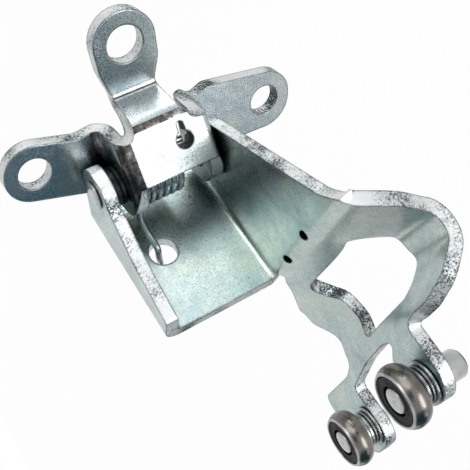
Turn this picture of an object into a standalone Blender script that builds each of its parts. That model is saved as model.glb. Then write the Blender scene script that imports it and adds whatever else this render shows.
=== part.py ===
"""Sliding door hinge: pressed door bracket, folded gooseneck arm, sprung pin and two ball bearing rollers."""

import bpy
import bmesh
from math import acos, atan2, ceil, cos, degrees, hypot, pi, radians, sin, tan
from mathutils import Matrix, Vector

# All sizes are in millimetres and become metres when a mesh or a place is made
MM = 0.001

# Sheet metal and fits
SHEET = 4.3
EDGE_ROUND = 0.4
SEAT = 0.3
FOLD_RADIUS = 1.5

# Door bracket, origin on the back of the third ear beside its hole
TOP_HOLE = (11.0, 0.0)
TOP_HOLE_R = 5.9
LEFT_HOLE = (-18.7, 37.0)
RIGHT_HOLE = (-28.1, -45.3)
SIDE_HOLE_R = 5.33
LEFT_WALL = 14.8
RIGHT_WALL = -16.6
LEFT_FOOT_R = 3.0
RIGHT_FOOT_R = 1.0
BOX_CORNER_R = 1.1
PIVOT = (-28.5, -13.0)
FACE_TILT = 23.3
FACE_OFFSET = 11.2
FACE_FOOT = -1.65
LUG_R = 10.8
LUG_BORE = 5.8
WEB_TOP_X = -8.5
WEB_FOOT_X = -4.7
KEYHOLE_UP = 7.2
KEYHOLE_Z = -6.6
KEYHOLE_R = 2.9
KEYHOLE_SLOT = 3.0
KEYHOLE_TOP = 13.8

# Folded arm, seen along the hinge pin: L runs down the arm and N up the cheeks
ARM_ANGLE = 248.15
LEFT_CHEEK = 18.9
RIGHT_CHEEK = -17.96
FLOOR_N = -19.75
FLOOR_END = 44.6
CHEEK_R = 8.35
CHEEK_BACK = 0.0
ROLL_TILT = 13.0
EAR_STEP = 13.0
ARCH_TOP = 28.5
ARCH_LOW = 15.5
BLEND_START = -8.0
BLEND_END = 26.0
FLOOR_HOLE = (18.5, 9.0)
FLOOR_HOLE_R = 4.8
SPOTS = ((49.4, 15.9), (46.4, -4.4))
SPOT_R = 1.3

# Pin, bushes and spring
PIN_R = 3.9
PIN_HEAD_R = 4.7
PIN_HEAD = 0.9
PIN_END_R = 5.6
PIN_END = 2.0
BUSH_R = 5.5
BUSH_FLANGE_R = 6.3
WASHER_R = 6.3
LEFT_FLANGE = 1.2
WIRE_R = 1.1
COIL_R = 7.0
COIL_SHIFT = (-1.5, 0.9)
COIL_PITCH = 2.55
COIL_TURNS = 5
LEG_ASIDE = 1.6

# Rollers, places as L and N
ROLLER_LARGE = (99.9, -3.2)
ROLLER_SMALL = (95.8, -58.3)
ROLLER_FACE = -19.3
ROLLER_W = 9.0
ROLLER_R = 10.3
ROLLER_RIM_R = 8.85
RIM_LIP = 0.6
SEAL_LEDGE = 0.55
RACE_GAP = 2.1
CORE_LEDGE = 1.0
SEAL_T = 0.7
SEAL_SINK = 0.15
STUD_R = 3.0
STUD_HEAD_R = 4.2
STUD_HEAD = 0.8
COLLAR_R = 5.2
FLANGE_R = 8.3
FLANGE_T = 1.1
RIVET_R = 3.4
RIVET_HEAD_R = 5.0
RIVET_HEAD = 1.3
GUIDE_R = 4.67
GUIDE_END = -44.0
BALLS = 7
BALL_R = 1.5

tilt = radians(FACE_TILT)
face_dir = Vector((cos(tilt), sin(tilt)))
face_out = Vector((sin(tilt), -cos(tilt)))
pivot = Vector(PIVOT)
roll = radians(ROLL_TILT)
ear_face = RIGHT_CHEEK - EAR_STEP
ear_back = ear_face - SHEET
seal_out_r = ROLLER_RIM_R - RIM_LIP
ring_inner_r = seal_out_r - SEAL_LEDGE
core_r = ring_inner_r - RACE_GAP
seal_in_r = core_r - CORE_LEDGE
ball_ring_r = (ring_inner_r + core_r) / 2


def clear_scene():
    for item in list(bpy.data.objects):
        bpy.data.objects.remove(item, do_unlink=True)


def collection(name):
    made = bpy.data.collections.new(name)
    bpy.context.scene.collection.children.link(made)
    return made


def material(name, colour, roughness, metallic):
    made = bpy.data.materials.new(name)
    made.use_nodes = True
    shader = made.node_tree.nodes["Principled BSDF"]
    shader.inputs["Base Color"].default_value = (*colour, 1.0)
    shader.inputs["Roughness"].default_value = roughness
    shader.inputs["Metallic"].default_value = metallic
    return made


def arc(x, y, radius, start, end, steps):
    """Corner points along a circle, from one angle to another in degrees."""
    points = []
    for i in range(steps + 1):
        angle = radians(start + (end - start) * i / steps)
        points.append((x + radius * cos(angle), y + radius * sin(angle), 0.0))
    return points


def fillet_reaches(corners, closed):
    """How far each corner's fillet reaches along its two sides, shared where a side is short."""
    count = len(corners)
    halves = []
    wanted = []
    for i, (x, y, radius) in enumerate(corners):
        before = Vector(corners[i - 1][:2]) - Vector((x, y))
        after = Vector(corners[(i + 1) % count][:2]) - Vector((x, y))
        straight = before.normalized().dot(after.normalized())
        half = acos(max(-1.0, min(1.0, straight))) / 2
        ended = not closed and i in (0, count - 1)
        halves.append(half)
        wanted.append(0.0 if ended or radius <= 0 else radius / tan(half))
    reaches = list(wanted)
    for i in range(count):
        k = (i + 1) % count
        side = hypot(corners[k][0] - corners[i][0], corners[k][1] - corners[i][1])
        total = wanted[i] + wanted[k]
        if total > side * 0.99:
            reaches[i] = min(reaches[i], wanted[i] * side * 0.99 / total)
            reaches[k] = min(reaches[k], wanted[k] * side * 0.99 / total)
    return reaches, halves


def rounded(corners, closed=True, step=20.0):
    """A flat outline from corners (x, y, fillet radius)."""
    points = []
    count = len(corners)
    reaches, halves = fillet_reaches(corners, closed)
    for i, (x, y, _) in enumerate(corners):
        here = Vector((x, y))
        if reaches[i] <= 0:
            points.append(here)
            continue
        before = (Vector(corners[i - 1][:2]) - here).normalized()
        after = (Vector(corners[(i + 1) % count][:2]) - here).normalized()
        radius = reaches[i] * tan(halves[i])
        centre = here + (before + after).normalized() * (radius / sin(halves[i]))
        first = here + before * reaches[i] - centre
        last = here + after * reaches[i] - centre
        turn = first.angle_signed(last)
        steps = max(2, ceil(abs(degrees(turn)) / step))
        for k in range(steps + 1):
            spin = Matrix.Rotation(-turn * k / steps, 2)
            points.append(centre + spin @ first)
    return points


def strip(path, thickness):
    """The closed outline of a folded strip: corners (x, y, inner radius), thickness to the left."""
    left = []
    right = []
    count = len(path)
    normals = []
    for i in range(count - 1):
        run = Vector(path[i + 1][:2]) - Vector(path[i][:2])
        run.normalize()
        normals.append(Vector((-run.y, run.x)))
    for i, (x, y, radius) in enumerate(path):
        here = Vector((x, y))
        n1 = normals[max(0, i - 1)]
        n2 = normals[min(count - 2, i)]
        shift = (n1 + n2) * (thickness / (1 + n1.dot(n2)))
        turns_left = n1.cross(n2) > 0
        inner = radius if 0 < i < count - 1 else 0.0
        outer = radius + thickness if inner else 0.0
        right.append((here.x, here.y, outer if turns_left else inner))
        left.append((here.x + shift.x, here.y + shift.y, inner if turns_left else outer))
    return rounded(right + left[::-1])


def add_object(name, mesh_or_curve, group, surface=None):
    made = bpy.data.objects.new(name, mesh_or_curve)
    group.objects.link(made)
    if surface:
        made.data.materials.append(surface)
    return made


def finish_mesh(name, bm, group, surface=None, smooth=False, shell=False):
    if not shell:
        bmesh.ops.recalc_face_normals(bm, faces=bm.faces)
    bmesh.ops.scale(bm, vec=(MM, MM, MM), verts=bm.verts)
    mesh = bpy.data.meshes.new(name)
    bm.to_mesh(mesh)
    bm.free()
    if smooth:
        mesh.shade_smooth()
    return add_object(name, mesh, group, surface)


def prism_mesh(outline, low, high, place):
    """A flat outline extruded from low to high, place turns (u, v, w) into a point."""
    bm = bmesh.new()
    verts = [bm.verts.new(place(u, v, low)) for u, v in outline]
    face = bm.faces.new(verts)
    raised = bmesh.ops.extrude_face_region(bm, geom=[face])["geom"]
    shift = Vector(place(0, 0, high)) - Vector(place(0, 0, low))
    bmesh.ops.translate(bm, vec=shift, verts=[v for v in raised if isinstance(v, bmesh.types.BMVert)])
    return bm


def along_x(u, v, w):
    return (w, v, u)


def along_y(u, v, w):
    return (u, w, v)


def along_z(u, v, w):
    return (u, v, w)


def cylinder(name, radius, low, high, centre, turn, group, sides=28):
    """A round cutter along its own Z, turned and then moved to its centre."""
    bm = bmesh.new()
    depth = high - low
    bmesh.ops.create_cone(bm, cap_ends=True, segments=sides, radius1=radius, radius2=radius, depth=depth)
    bmesh.ops.translate(bm, vec=(0, 0, (low + high) / 2), verts=bm.verts)
    bmesh.ops.transform(bm, matrix=Matrix.Translation(Vector(centre)) @ turn, verts=bm.verts)
    return finish_mesh(name, bm, group)


def turned(name, profile, steps, group, surface):
    """A turned piece: its profile (radius, height) runs top to bottom, spun by a Screw modifier."""
    bm = bmesh.new()
    verts = [bm.verts.new((radius, 0, height)) for radius, height in profile]
    closed = profile[0][0] > 0
    for a, b in zip(verts, verts[1:] + ([verts[0]] if closed else [])):
        bm.edges.new((a, b))
    bmesh.ops.scale(bm, vec=(MM, MM, MM), verts=bm.verts)
    mesh = bpy.data.meshes.new(name)
    bm.to_mesh(mesh)
    bm.free()
    made = add_object(name, mesh, group, surface)
    spin = made.modifiers.new("Spin", "SCREW")
    spin.axis = "Z"
    spin.steps = steps
    spin.render_steps = steps
    spin.use_merge_vertices = True
    spin.merge_threshold = 0.00001
    spin.use_smooth_shade = True
    return made


def cut(target, cutter, operation="DIFFERENCE"):
    step = target.modifiers.new(cutter.name, "BOOLEAN")
    step.operation = operation
    step.solver = "EXACT"
    step.object = cutter
    cutter.display_type = "WIRE"
    cutter.hide_render = True


def round_edges(target, width, angle=40.0):
    join = target.modifiers.new("Join close points", "WELD")
    join.merge_threshold = 0.07 * MM
    bevel = target.modifiers.new("Rounded edges", "BEVEL")
    bevel.width = width * MM
    bevel.segments = 1
    bevel.limit_method = "ANGLE"
    bevel.angle_limit = radians(angle)


def face_y(x):
    """The box face's front, as Y at a given X."""
    return pivot.y - (FACE_OFFSET - (x - pivot.x) * face_out.x) / cos(tilt)


def bracket_outline():
    """The flat outline of the three ears and the box, as X and Z."""
    return rounded([
        (TOP_HOLE[0] + 10.6, 10.6, 10.5),
        (TOP_HOLE[0] - 7.0, 9.9, 8.0),
        (WEB_FOOT_X, 7.4, 6.0),
        (-12.6, 7.9, 4.0),
        (-12.4, LEFT_WALL, 1.5),
        (-13.4, 21.0, 8.0),
        (LEFT_HOLE[0] + 12.2, LEFT_HOLE[1] + 6.3, 9.6),
        (LEFT_HOLE[0] - 6.3, LEFT_HOLE[1] + 12.2, 9.6),
        (-35.1, 18.0, 3.0),
        (-41.0, LEFT_WALL + 0.8, 0.0),
        (-41.0, RIGHT_WALL - 0.6, 0.0),
        (-37.4, -20.5, 3.0),
        (RIGHT_HOLE[0] - 11.3, RIGHT_HOLE[1] - 8.5, 9.8),
        (RIGHT_HOLE[0] + 8.5, RIGHT_HOLE[1] - 11.4, 9.8),
        (-13.8, -24.6, 4.0),
        (-15.8, -19.4, 2.5),
        (-13.4, RIGHT_WALL, 1.5),
        (-12.4, -11.2, 3.0),
        (WEB_FOOT_X, -6.7, 6.0),
        (TOP_HOLE[0] - 7.0, -9.9, 8.0),
        (TOP_HOLE[0] + 10.6, -10.6, 10.5),
    ], step=20.0)


def hat_section(group, surface):
    """Ears, walls and box face as one section, drawn out along X with the face tilted."""
    start_x = -42.0
    end_x = -8.0
    start_y = face_y(start_x)
    section = strip([
        (-70.0, -SHEET, 0.0),
        (RIGHT_WALL, -SHEET, RIGHT_FOOT_R),
        (RIGHT_WALL, start_y, BOX_CORNER_R),
        (LEFT_WALL, start_y, BOX_CORNER_R),
        (LEFT_WALL, -SHEET, LEFT_FOOT_R),
        (60.0, -SHEET, 0.0),
    ], SHEET)
    bm = prism_mesh(section, start_x, end_x, along_x)
    rise = face_y(end_x) - start_y
    middle = start_y / 2
    for vert in bm.verts:
        if vert.co.y > middle:
            continue
        vert.co.y = start_y + (vert.co.y - start_y) / cos(tilt)
        if vert.co.x > 0.5 * (start_x + end_x):
            vert.co.y += rise
    return finish_mesh("door_bracket", bm, group, surface)


def web_section(group):
    """The box face's continuation: the web down to the third ear."""
    skin = 0.03
    inset = face_out * -skin
    thick = SHEET - 2 * skin
    path = [
        (-17.0 + inset.x, face_y(-17.0) + inset.y, 0.0),
        (WEB_TOP_X + inset.x, face_y(WEB_TOP_X) + inset.y, 2.0),
        (WEB_FOOT_X, -thick, 2.0),
        (TOP_HOLE[0] + 14.0, -thick, 0.0),
    ]
    bm = prism_mesh(strip(path, thick), -12.5, 12.5, along_z)
    return finish_mesh("web_and_third_ear", bm, group)


def door_bracket(group, cutters, surface):
    bracket = hat_section(group, surface)
    edge = [(-12.0, -40.0), (0.0, -40.0), (0.0, -SHEET - 2.0), (-12.0, -SHEET - 2.0)]
    cut(bracket, finish_mesh("box_top_edge", prism_mesh(edge, RIGHT_WALL - 2.0, LEFT_WALL + 4.0, along_z), cutters))
    cut(bracket, web_section(cutters), "UNION")
    plan = finish_mesh("bracket_outline", prism_mesh(bracket_outline(), -50.0, 5.0, along_y), cutters)
    cut(bracket, plan, "INTERSECT")
    lug_side = radians(FACE_TILT - 12.0)
    lug_x = pivot.x - LUG_R
    lug_top = pivot.y - (LUG_R + LUG_R * sin(lug_side)) / cos(lug_side)
    far_top = pivot.y - (LUG_R - (-14.0 - pivot.x) * sin(lug_side)) / cos(lug_side)
    lug_cut = rounded([
        (-14.0, -50.0, 0.0),
        (-14.0, far_top, 0.0),
        (lug_x, lug_top, LUG_R),
        (lug_x, 6.0, 0.0),
        (-60.0, 6.0, 0.0),
        (-60.0, -50.0, 0.0),
    ], step=12.0)
    cut(bracket, finish_mesh("lug_ends", prism_mesh(lug_cut, -80.0, 70.0, along_z), cutters))
    foot = pivot + face_out * (FACE_OFFSET + 2) + face_dir * FACE_FOOT
    back = pivot + face_dir * FACE_FOOT - face_out * 2
    low = RIGHT_WALL + SHEET + 0.4
    high = LEFT_WALL - SHEET - 0.4
    slot = [(foot.x, foot.y), (back.x, back.y), (-45.0, back.y), (-45.0, -40.0), (foot.x, -40.0)]
    cut(bracket, finish_mesh("slot_between_lugs", prism_mesh(slot, low, high, along_z), cutters))
    lie_y = Matrix.Rotation(pi / 2, 4, "X")
    for name, hole, radius in (
        ("third_ear_hole", TOP_HOLE, TOP_HOLE_R),
        ("left_ear_hole", LEFT_HOLE, SIDE_HOLE_R),
        ("right_ear_hole", RIGHT_HOLE, SIDE_HOLE_R),
    ):
        cut(bracket, cylinder(name, radius, -3.0, SHEET + 3.0, (hole[0], 0, hole[1]), lie_y, cutters))
    cut(bracket, cylinder("lug_bores", LUG_BORE, RIGHT_WALL - 5, LEFT_WALL + 5, (*PIVOT, 0), Matrix(), cutters))
    cut(bracket, keyhole(cutters))
    round_edges(bracket, EDGE_ROUND)
    return bracket


def keyhole(cutters):
    """A round hole with a slot that runs up the box face."""
    half = KEYHOLE_SLOT / 2
    neck = degrees(acos(half / KEYHOLE_R))
    outline = arc(0, 0, KEYHOLE_R, neck, -180 - neck, 22)
    rise = KEYHOLE_TOP - KEYHOLE_UP
    outline += [(-half, rise, half), (half, rise, half)]
    bm = bmesh.new()
    verts = [bm.verts.new((u, v, -SHEET)) for u, v in rounded(outline)]
    raised = bmesh.ops.extrude_face_region(bm, geom=[bm.faces.new(verts)])["geom"]
    moved = [v for v in raised if isinstance(v, bmesh.types.BMVert)]
    bmesh.ops.translate(bm, vec=(0, 0, 3 * SHEET), verts=moved)
    centre = pivot + face_out * (FACE_OFFSET - SHEET) + face_dir * KEYHOLE_UP
    turn = Matrix((
        (0, face_dir.x, face_out.x, centre.x),
        (0, face_dir.y, face_out.y, centre.y),
        (-1, 0, 0, KEYHOLE_Z),
        (0, 0, 0, 1),
    ))
    bmesh.ops.transform(bm, matrix=turn, verts=bm.verts)
    return finish_mesh("keyhole", bm, cutters)


# The arm's blank is flat: L across, S along the section from the plate to the left cheek
bend_start = FLOOR_N + FOLD_RADIUS
bend_run = FOLD_RADIUS * pi / 2
floor_start = bend_start - bend_run
floor_end = floor_start - (LEFT_CHEEK - RIGHT_CHEEK - 2 * FOLD_RADIUS)
cheek_start = floor_end - bend_run
left_pin_s = cheek_start + bend_start
slit_l = FLOOR_END + 0.8


def left_s(n):
    """The blank's S of a point N up the left cheek."""
    return cheek_start + bend_start - n


def blank_outline():
    """Right cheek, gooseneck, two ears, slit, floor and left cheek, in one walk round the blank."""
    walk = arc(0, 0, CHEEK_R, 196, 119, 7)
    walk += [
        (49.5, 38.4, 16.0),
        (58.0, 46.9, 4.0),
        (64.4, 42.4, 8.0),
        (67.4, 33.6, 5.0),
        (82.2, 28.8, 5.0),
        (84.6, 21.0, 8.0),
        (83.8, 7.9, 4.5),
        (107.2, 7.2, 9.8),
        (107.2, -12.9, 9.8),
        (88.4, -12.9, 1.5),
        (84.6, -5.2, 1.2),
        (82.6, -12.5, 4.0),
        (81.6, -30.0, 12.0),
        (83.0, -51.6, 3.0),
        (104.6, -51.2, 8.0),
        (104.6, -71.0, 10.0),
        (83.5, -80.6, 6.0),
        (75.8, -79.8, 4.0),
        (78.6, -50.0, 16.0),
        (75.4, -34.6, 6.0),
        (67.0, -41.8, 8.0),
        (54.2, -54.2, 4.0),
        (50.0, -50.0, 3.0),
        (48.0, -31.0, 12.0),
        (46.6, -23.0, 3.0),
        (46.4, bend_start, 0.6),
        (FLOOR_END, bend_start, 0.6),
        (FLOOR_END, left_s(-11.2), 2.0),
        (24.0, left_s(-6.2), 20.0),
        (10.8, left_s(0.9), 5.0),
    ]
    walk += arc(0, left_pin_s, CHEEK_R, -22, -196, 12)
    walk += [
        (CHEEK_BACK - 0.6, left_s(-16.0), 4.0),
        (CHEEK_BACK, floor_end, 0.0),
        (CHEEK_BACK, floor_start, 0.0),
        (CHEEK_BACK - 0.6, -16.0, 4.0),
    ]
    return rounded(walk)


def window_outline():
    """The D window in the gooseneck."""
    return rounded([
        (52.6, -21.0, 6.0),
        (57.2, 22.6, 3.0),
        (63.6, 8.4, 5.0),
        (74.6, 11.8, 5.0),
        (77.6, 5.4, 4.0),
        (77.2, -19.8, 3.5),
        (62.0, -19.9, 5.0),
        (54.4, -28.4, 3.0),
    ])


def path_depth(path, m):
    for (a, low), (b, high) in zip(path, path[1:]):
        if m <= b:
            return low + (high - low) * (m - a) / (b - a)
    return path[-1][1]


# Two sections across the soft bend, depth below the right cheek: over the arch and along its foot
over_arch = rounded([
    (-60.0, 0.0, 0.0), (47.0, 0.0, 5.5), (58.5, ARCH_TOP - 0.5, 5.5), (66.0, ARCH_TOP, 5.5),
    (80.5, EAR_STEP, 5.5), (170.0, EAR_STEP, 0.0),
], closed=False, step=17.0)
along_foot = rounded([
    (-60.0, 0.0, 0.0), (47.0, 0.0, 8.0), (62.0, ARCH_LOW - 1.0, 8.0), (73.0, ARCH_LOW, 8.0),
    (80.5, EAR_STEP, 8.0), (170.0, EAR_STEP, 0.0),
], closed=False, step=17.0)


def plate_depth(l, n):
    m = l * cos(roll) - n * sin(roll)
    d = l * sin(roll) + n * cos(roll)
    share = min(1.0, max(0.0, (d - BLEND_START) / (BLEND_END - BLEND_START)))
    share = share * share * (3 - 2 * share)
    return (1 - share) * path_depth(along_foot, m) + share * path_depth(over_arch, m)


def form(l, s):
    """Where a point of the flat blank lies once the arm is pressed, as L, N and height."""
    if s >= bend_start or l > slit_l:
        return (l, s, RIGHT_CHEEK - plate_depth(l, s))
    lift = plate_depth(l, bend_start) * max(0.0, 1 - (bend_start - s) / 14.0)
    inner = RIGHT_CHEEK + FOLD_RADIUS
    if s >= floor_start:
        turn = (bend_start - s) / FOLD_RADIUS
        return (l, bend_start - FOLD_RADIUS * sin(turn), inner - FOLD_RADIUS * cos(turn) - lift)
    if s >= floor_end:
        return (l, FLOOR_N, inner + (floor_start - s) - lift)
    if s >= cheek_start:
        turn = (floor_end - s) / FOLD_RADIUS
        return (l, bend_start - FOLD_RADIUS * cos(turn), LEFT_CHEEK - FOLD_RADIUS + FOLD_RADIUS * sin(turn))
    return (l, bend_start + (cheek_start - s), LEFT_CHEEK)


def cut_lines(bm, along, values, faces_inside=None):
    """Cuts the flat blank along parallel lines."""
    for value in values:
        geom = bm.verts[:] + bm.edges[:] + bm.faces[:]
        if faces_inside:
            faces = [f for f in bm.faces if faces_inside(f.calc_center_median())]
            edges = {e for f in faces for e in f.edges}
            verts = {v for f in faces for v in f.verts}
            geom = list(verts) + list(edges) + faces
        spot = Vector((along[0] * value, along[1] * value, 0))
        bmesh.ops.bisect_plane(bm, geom=geom, plane_co=spot, plane_no=(along[0], along[1], 0), dist=0.02)


def thinned(values, gap):
    kept = []
    for value in sorted(values):
        if not kept or value - kept[-1] >= gap:
            kept.append(value)
    return kept


def arm_blank():
    """The flat blank, filled and cut along every line that the press folds."""
    bm = bmesh.new()
    for outline in (blank_outline(), window_outline()):
        verts = [bm.verts.new((u, v, 0)) for u, v in outline]
        for a, b in zip(verts, verts[1:] + verts[:1]):
            bm.edges.new((a, b))
    bmesh.ops.triangle_fill(bm, use_beauty=True, edges=bm.edges, normal=(0, 0, 1))
    bmesh.ops.dissolve_limit(bm, angle_limit=radians(1), verts=bm.verts, edges=bm.edges)
    across = (cos(roll), -sin(roll))
    stations = [p.x for p in over_arch + along_foot if -50 < p.x < 160]
    cut_lines(bm, across, thinned(stations, 1.6))
    down = (sin(roll), cos(roll))
    count = 6
    blends = [BLEND_START + (BLEND_END - BLEND_START) * i / count for i in range(count + 1)]
    first = min(stations)
    last = max(stations)

    def in_press(centre):
        return first - 0.5 < centre.x * across[0] + centre.y * across[1] < last + 0.5

    cut_lines(bm, down, blends, in_press)
    folds = [bend_start - bend_run * i / 4 for i in range(5)] + [floor_end - bend_run * i / 4 for i in range(5)]
    folds.append(bend_start - 14.0)

    def in_fold(centre):
        return centre.x < slit_l and centre.y < 5

    cut_lines(bm, (0, 1), folds, in_fold)
    bmesh.ops.remove_doubles(bm, verts=bm.verts, dist=0.2)
    bmesh.ops.triangulate(bm, faces=bm.faces, quad_method="BEAUTY", ngon_method="BEAUTY")
    bm.normal_update()
    bmesh.ops.reverse_faces(bm, faces=[f for f in bm.faces if f.normal.z < 0])
    return bm


def place_on_arm(target):
    """Puts a piece that is drawn in the arm's own axes onto the hinge axis."""
    target.location = (pivot.x * MM, pivot.y * MM, 0)
    target.rotation_euler = (0, 0, radians(ARM_ANGLE))


def hinge_arm(group, cutters, surface):
    bm = arm_blank()
    for vert in bm.verts:
        vert.co = form(vert.co.x, vert.co.y)
    arm = finish_mesh("hinge_arm", bm, group, surface, shell=True)
    press = arm.modifiers.new("Sheet", "SOLIDIFY")
    press.thickness = SHEET * MM
    press.offset = -1.0
    press.use_even_offset = True
    place_on_arm(arm)
    top = LEFT_CHEEK + SHEET
    bottom = RIGHT_CHEEK - SHEET
    sink = Matrix.Rotation(pi / 2, 4, "X")
    holes = [
        ("pin_bore", PIN_R + SEAT, bottom - 3, top + 3, (0, 0, 0), Matrix()),
        ("spring_leg_hole", FLOOR_HOLE_R, -3, SHEET + 3, (FLOOR_HOLE[0], FLOOR_N, FLOOR_HOLE[1]), sink),
        ("large_stud_hole", GUIDE_R + SEAT, ear_back - 3, ear_face + 3, (*ROLLER_LARGE, 0), Matrix()),
        ("small_stud_hole", RIVET_R + SEAT, ear_back - 3, ear_face + 3, (*ROLLER_SMALL, 0), Matrix()),
    ]
    for i, spot in enumerate(SPOTS):
        holes.append((f"small_hole_{i + 1}", SPOT_R, bottom - 6, RIGHT_CHEEK + 3, (*spot, 0), Matrix()))
    for name, radius, low, high, centre, turn in holes:
        sides = 12 if radius == SPOT_R else 28
        cutter = cylinder(name, radius, low, high, centre, turn, cutters, sides)
        place_on_arm(cutter)
        cut(arm, cutter)
    round_edges(arm, EDGE_ROUND, 45.0)
    return arm


def hinge_pin(group, surface):
    top = LEFT_CHEEK + SHEET + SEAT
    bottom = RIGHT_CHEEK - SHEET - SEAT
    pin = turned("hinge_pin", [
        (0, top + PIN_HEAD),
        (PIN_HEAD_R * 0.6, top + PIN_HEAD),
        (PIN_HEAD_R * 0.88, top + PIN_HEAD * 0.7),
        (PIN_HEAD_R, top + PIN_HEAD * 0.2),
        (PIN_HEAD_R, top),
        (PIN_R, top),
        (PIN_R, bottom),
        (PIN_END_R, bottom),
        (PIN_END_R, bottom - PIN_END * 0.5),
        (PIN_END_R * 0.8, bottom - PIN_END * 0.9),
        (PIN_END_R * 0.4, bottom - PIN_END),
        (0, bottom - PIN_END),
    ], 28, group, surface)
    place_on_arm(pin)
    return pin


def bushes(group, surface):
    bore = PIN_R + SEAT
    left_in = LEFT_WALL - SHEET
    flange_low = LEFT_WALL + SEAT
    flange_top = flange_low + LEFT_FLANGE
    right_in = RIGHT_WALL + SHEET
    flange_up = RIGHT_WALL - SEAT
    flange_end = RIGHT_CHEEK + SEAT
    pieces = [
        turned("upper_bush", [
            (bore, flange_top), (BUSH_FLANGE_R, flange_top), (BUSH_FLANGE_R, flange_low),
            (BUSH_R, flange_low), (BUSH_R, left_in), (bore, left_in),
        ], 28, group, surface),
        turned("lower_bush", [
            (bore, right_in), (BUSH_R, right_in), (BUSH_R, flange_up),
            (BUSH_FLANGE_R, flange_up), (BUSH_FLANGE_R, flange_end), (bore, flange_end),
        ], 28, group, surface),
    ]
    for piece in pieces:
        piece.location = (pivot.x * MM, pivot.y * MM, 0)
    return flange_top


def pin_washer(group, surface, flange_top):
    low = flange_top + SEAT
    high = LEFT_CHEEK - SEAT
    washer = turned("pin_washer", [
        (PIN_R + SEAT, high), (WASHER_R, high), (WASHER_R, low), (PIN_R + SEAT, low),
    ], 28, group, surface)
    place_on_arm(washer)


def spring_points():
    """The spring's wire: a leg in the floor hole, the coils, and a leg in the keyhole."""
    arm = radians(ARM_ANGLE)
    along = Vector((cos(arm), sin(arm)))
    up = Vector((-sin(arm), cos(arm)))
    centre = pivot + Vector(COIL_SHIFT)
    start_h = LEFT_WALL - SHEET - SEAT - WIRE_R
    knee = pivot + along * (FLOOR_HOLE[0] - 1.6) + up * (FLOOR_N + 3.6)
    to_coil = centre - knee
    lean = atan2(to_coil.y, to_coil.x) - atan2(COIL_R, (to_coil.length ** 2 - COIL_R ** 2) ** 0.5)
    first = lean - pi / 2
    last = atan2(face_out.y, face_out.x)
    while last < first:
        last += 2 * pi
    last += 2 * pi * COIL_TURNS
    points = []
    leg_h = FLOOR_HOLE[1] + LEG_ASIDE
    for l, n in ((3.2, -9.0), (1.4, -5.4), (0.2, -2.4), (0.0, 1.4)):
        spot = pivot + along * (FLOOR_HOLE[0] + l) + up * (FLOOR_N + n)
        points.append((spot.x, spot.y, leg_h))
    points.append((knee.x, knee.y, leg_h))
    landing = centre + Vector((cos(first), sin(first))) * COIL_R
    half_way = (knee + landing) / 2
    points.append((half_way.x, half_way.y, start_h))
    steps = round((last - first) / (2 * pi) * 12)
    for i in range(steps + 1):
        angle = first + (last - first) * i / steps
        height = start_h - COIL_PITCH * (angle - first) / (2 * pi)
        points.append((centre.x + COIL_R * cos(angle), centre.y + COIL_R * sin(angle), height))
    end_h = points[-1][2]
    out = Vector(points[-1][:2]) - pivot
    depth = out.dot(face_out)
    base = out.dot(face_dir)
    run = KEYHOLE_UP - 0.6 - base
    for share, lift in ((0.25, 0.0), (0.8, 0.0), (0.93, 0.5), (1.0, 1.6), (1.02, 4.2)):
        spot = pivot + face_dir * (base + run * share) + face_out * (depth + lift)
        height = end_h + (KEYHOLE_Z - end_h) * min(1.0, share)
        points.append((spot.x, spot.y, height))
    return points


def wire_object(name, points, radius, group, surface):
    curve = bpy.data.curves.new(name, "CURVE")
    curve.dimensions = "3D"
    curve.bevel_depth = radius * MM
    curve.bevel_resolution = 2
    curve.use_fill_caps = True
    line = curve.splines.new("POLY")
    line.points.add(len(points) - 1)
    for spot, point in zip(line.points, points):
        spot.co = (point[0] * MM, point[1] * MM, point[2] * MM, 1)
    line.use_smooth = True
    return add_object(name, curve, group, surface)


def torsion_spring(group, surface):
    local = [(x - pivot.x, y - pivot.y, z) for x, y, z in spring_points()]
    spring = wire_object("torsion_spring", local, WIRE_R, group, surface)
    spring.location = (pivot.x * MM, pivot.y * MM, 0)


def stud_head(radius, top, height):
    """A peened head with a centre punch mark, top to bottom."""
    return [
        (0, top - 0.45), (0.55, top - 0.05), (radius * 0.55, top), (radius * 0.9, top - height * 0.2),
        (radius, top - height * 0.6), (radius, top - height),
    ]


def stud(name, place, guide, group, surface):
    """A stud that carries one bearing, riveted or run on as a guide pin behind the ear."""
    face = ROLLER_FACE
    back = ROLLER_FACE - ROLLER_W
    flange_top = ear_face + SEAT + FLANGE_T
    flange_low = ear_face + SEAT
    profile = stud_head(STUD_HEAD_R, face, STUD_HEAD)
    profile += [
        (STUD_R, face - STUD_HEAD), (STUD_R, back), (COLLAR_R, back), (COLLAR_R, flange_top + 0.5),
        (FLANGE_R - 0.5, flange_top), (FLANGE_R, flange_top - 0.4), (FLANGE_R, flange_low),
    ]
    if guide:
        profile += [(GUIDE_R, flange_low), (GUIDE_R, GUIDE_END + 1.2), (GUIDE_R - 1.0, GUIDE_END), (0, GUIDE_END)]
    else:
        low = ear_back - SEAT
        profile += [
            (RIVET_R, flange_low), (RIVET_R, low), (RIVET_HEAD_R, low), (RIVET_HEAD_R, low - RIVET_HEAD * 0.4),
            (RIVET_HEAD_R * 0.75, low - RIVET_HEAD), (0, low - RIVET_HEAD),
        ]
    made = turned(name, profile, 24, group, surface)
    made.parent = place
    return made


def roller_axis(name, spot, group):
    """An empty on a roller's axis, which carries the bearing's pieces."""
    axis = add_object(name, None, group)
    arm = Matrix.Rotation(radians(ARM_ANGLE), 2)
    centre = pivot + arm @ Vector(spot)
    axis.location = (centre.x * MM, centre.y * MM, 0)
    return axis


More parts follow.
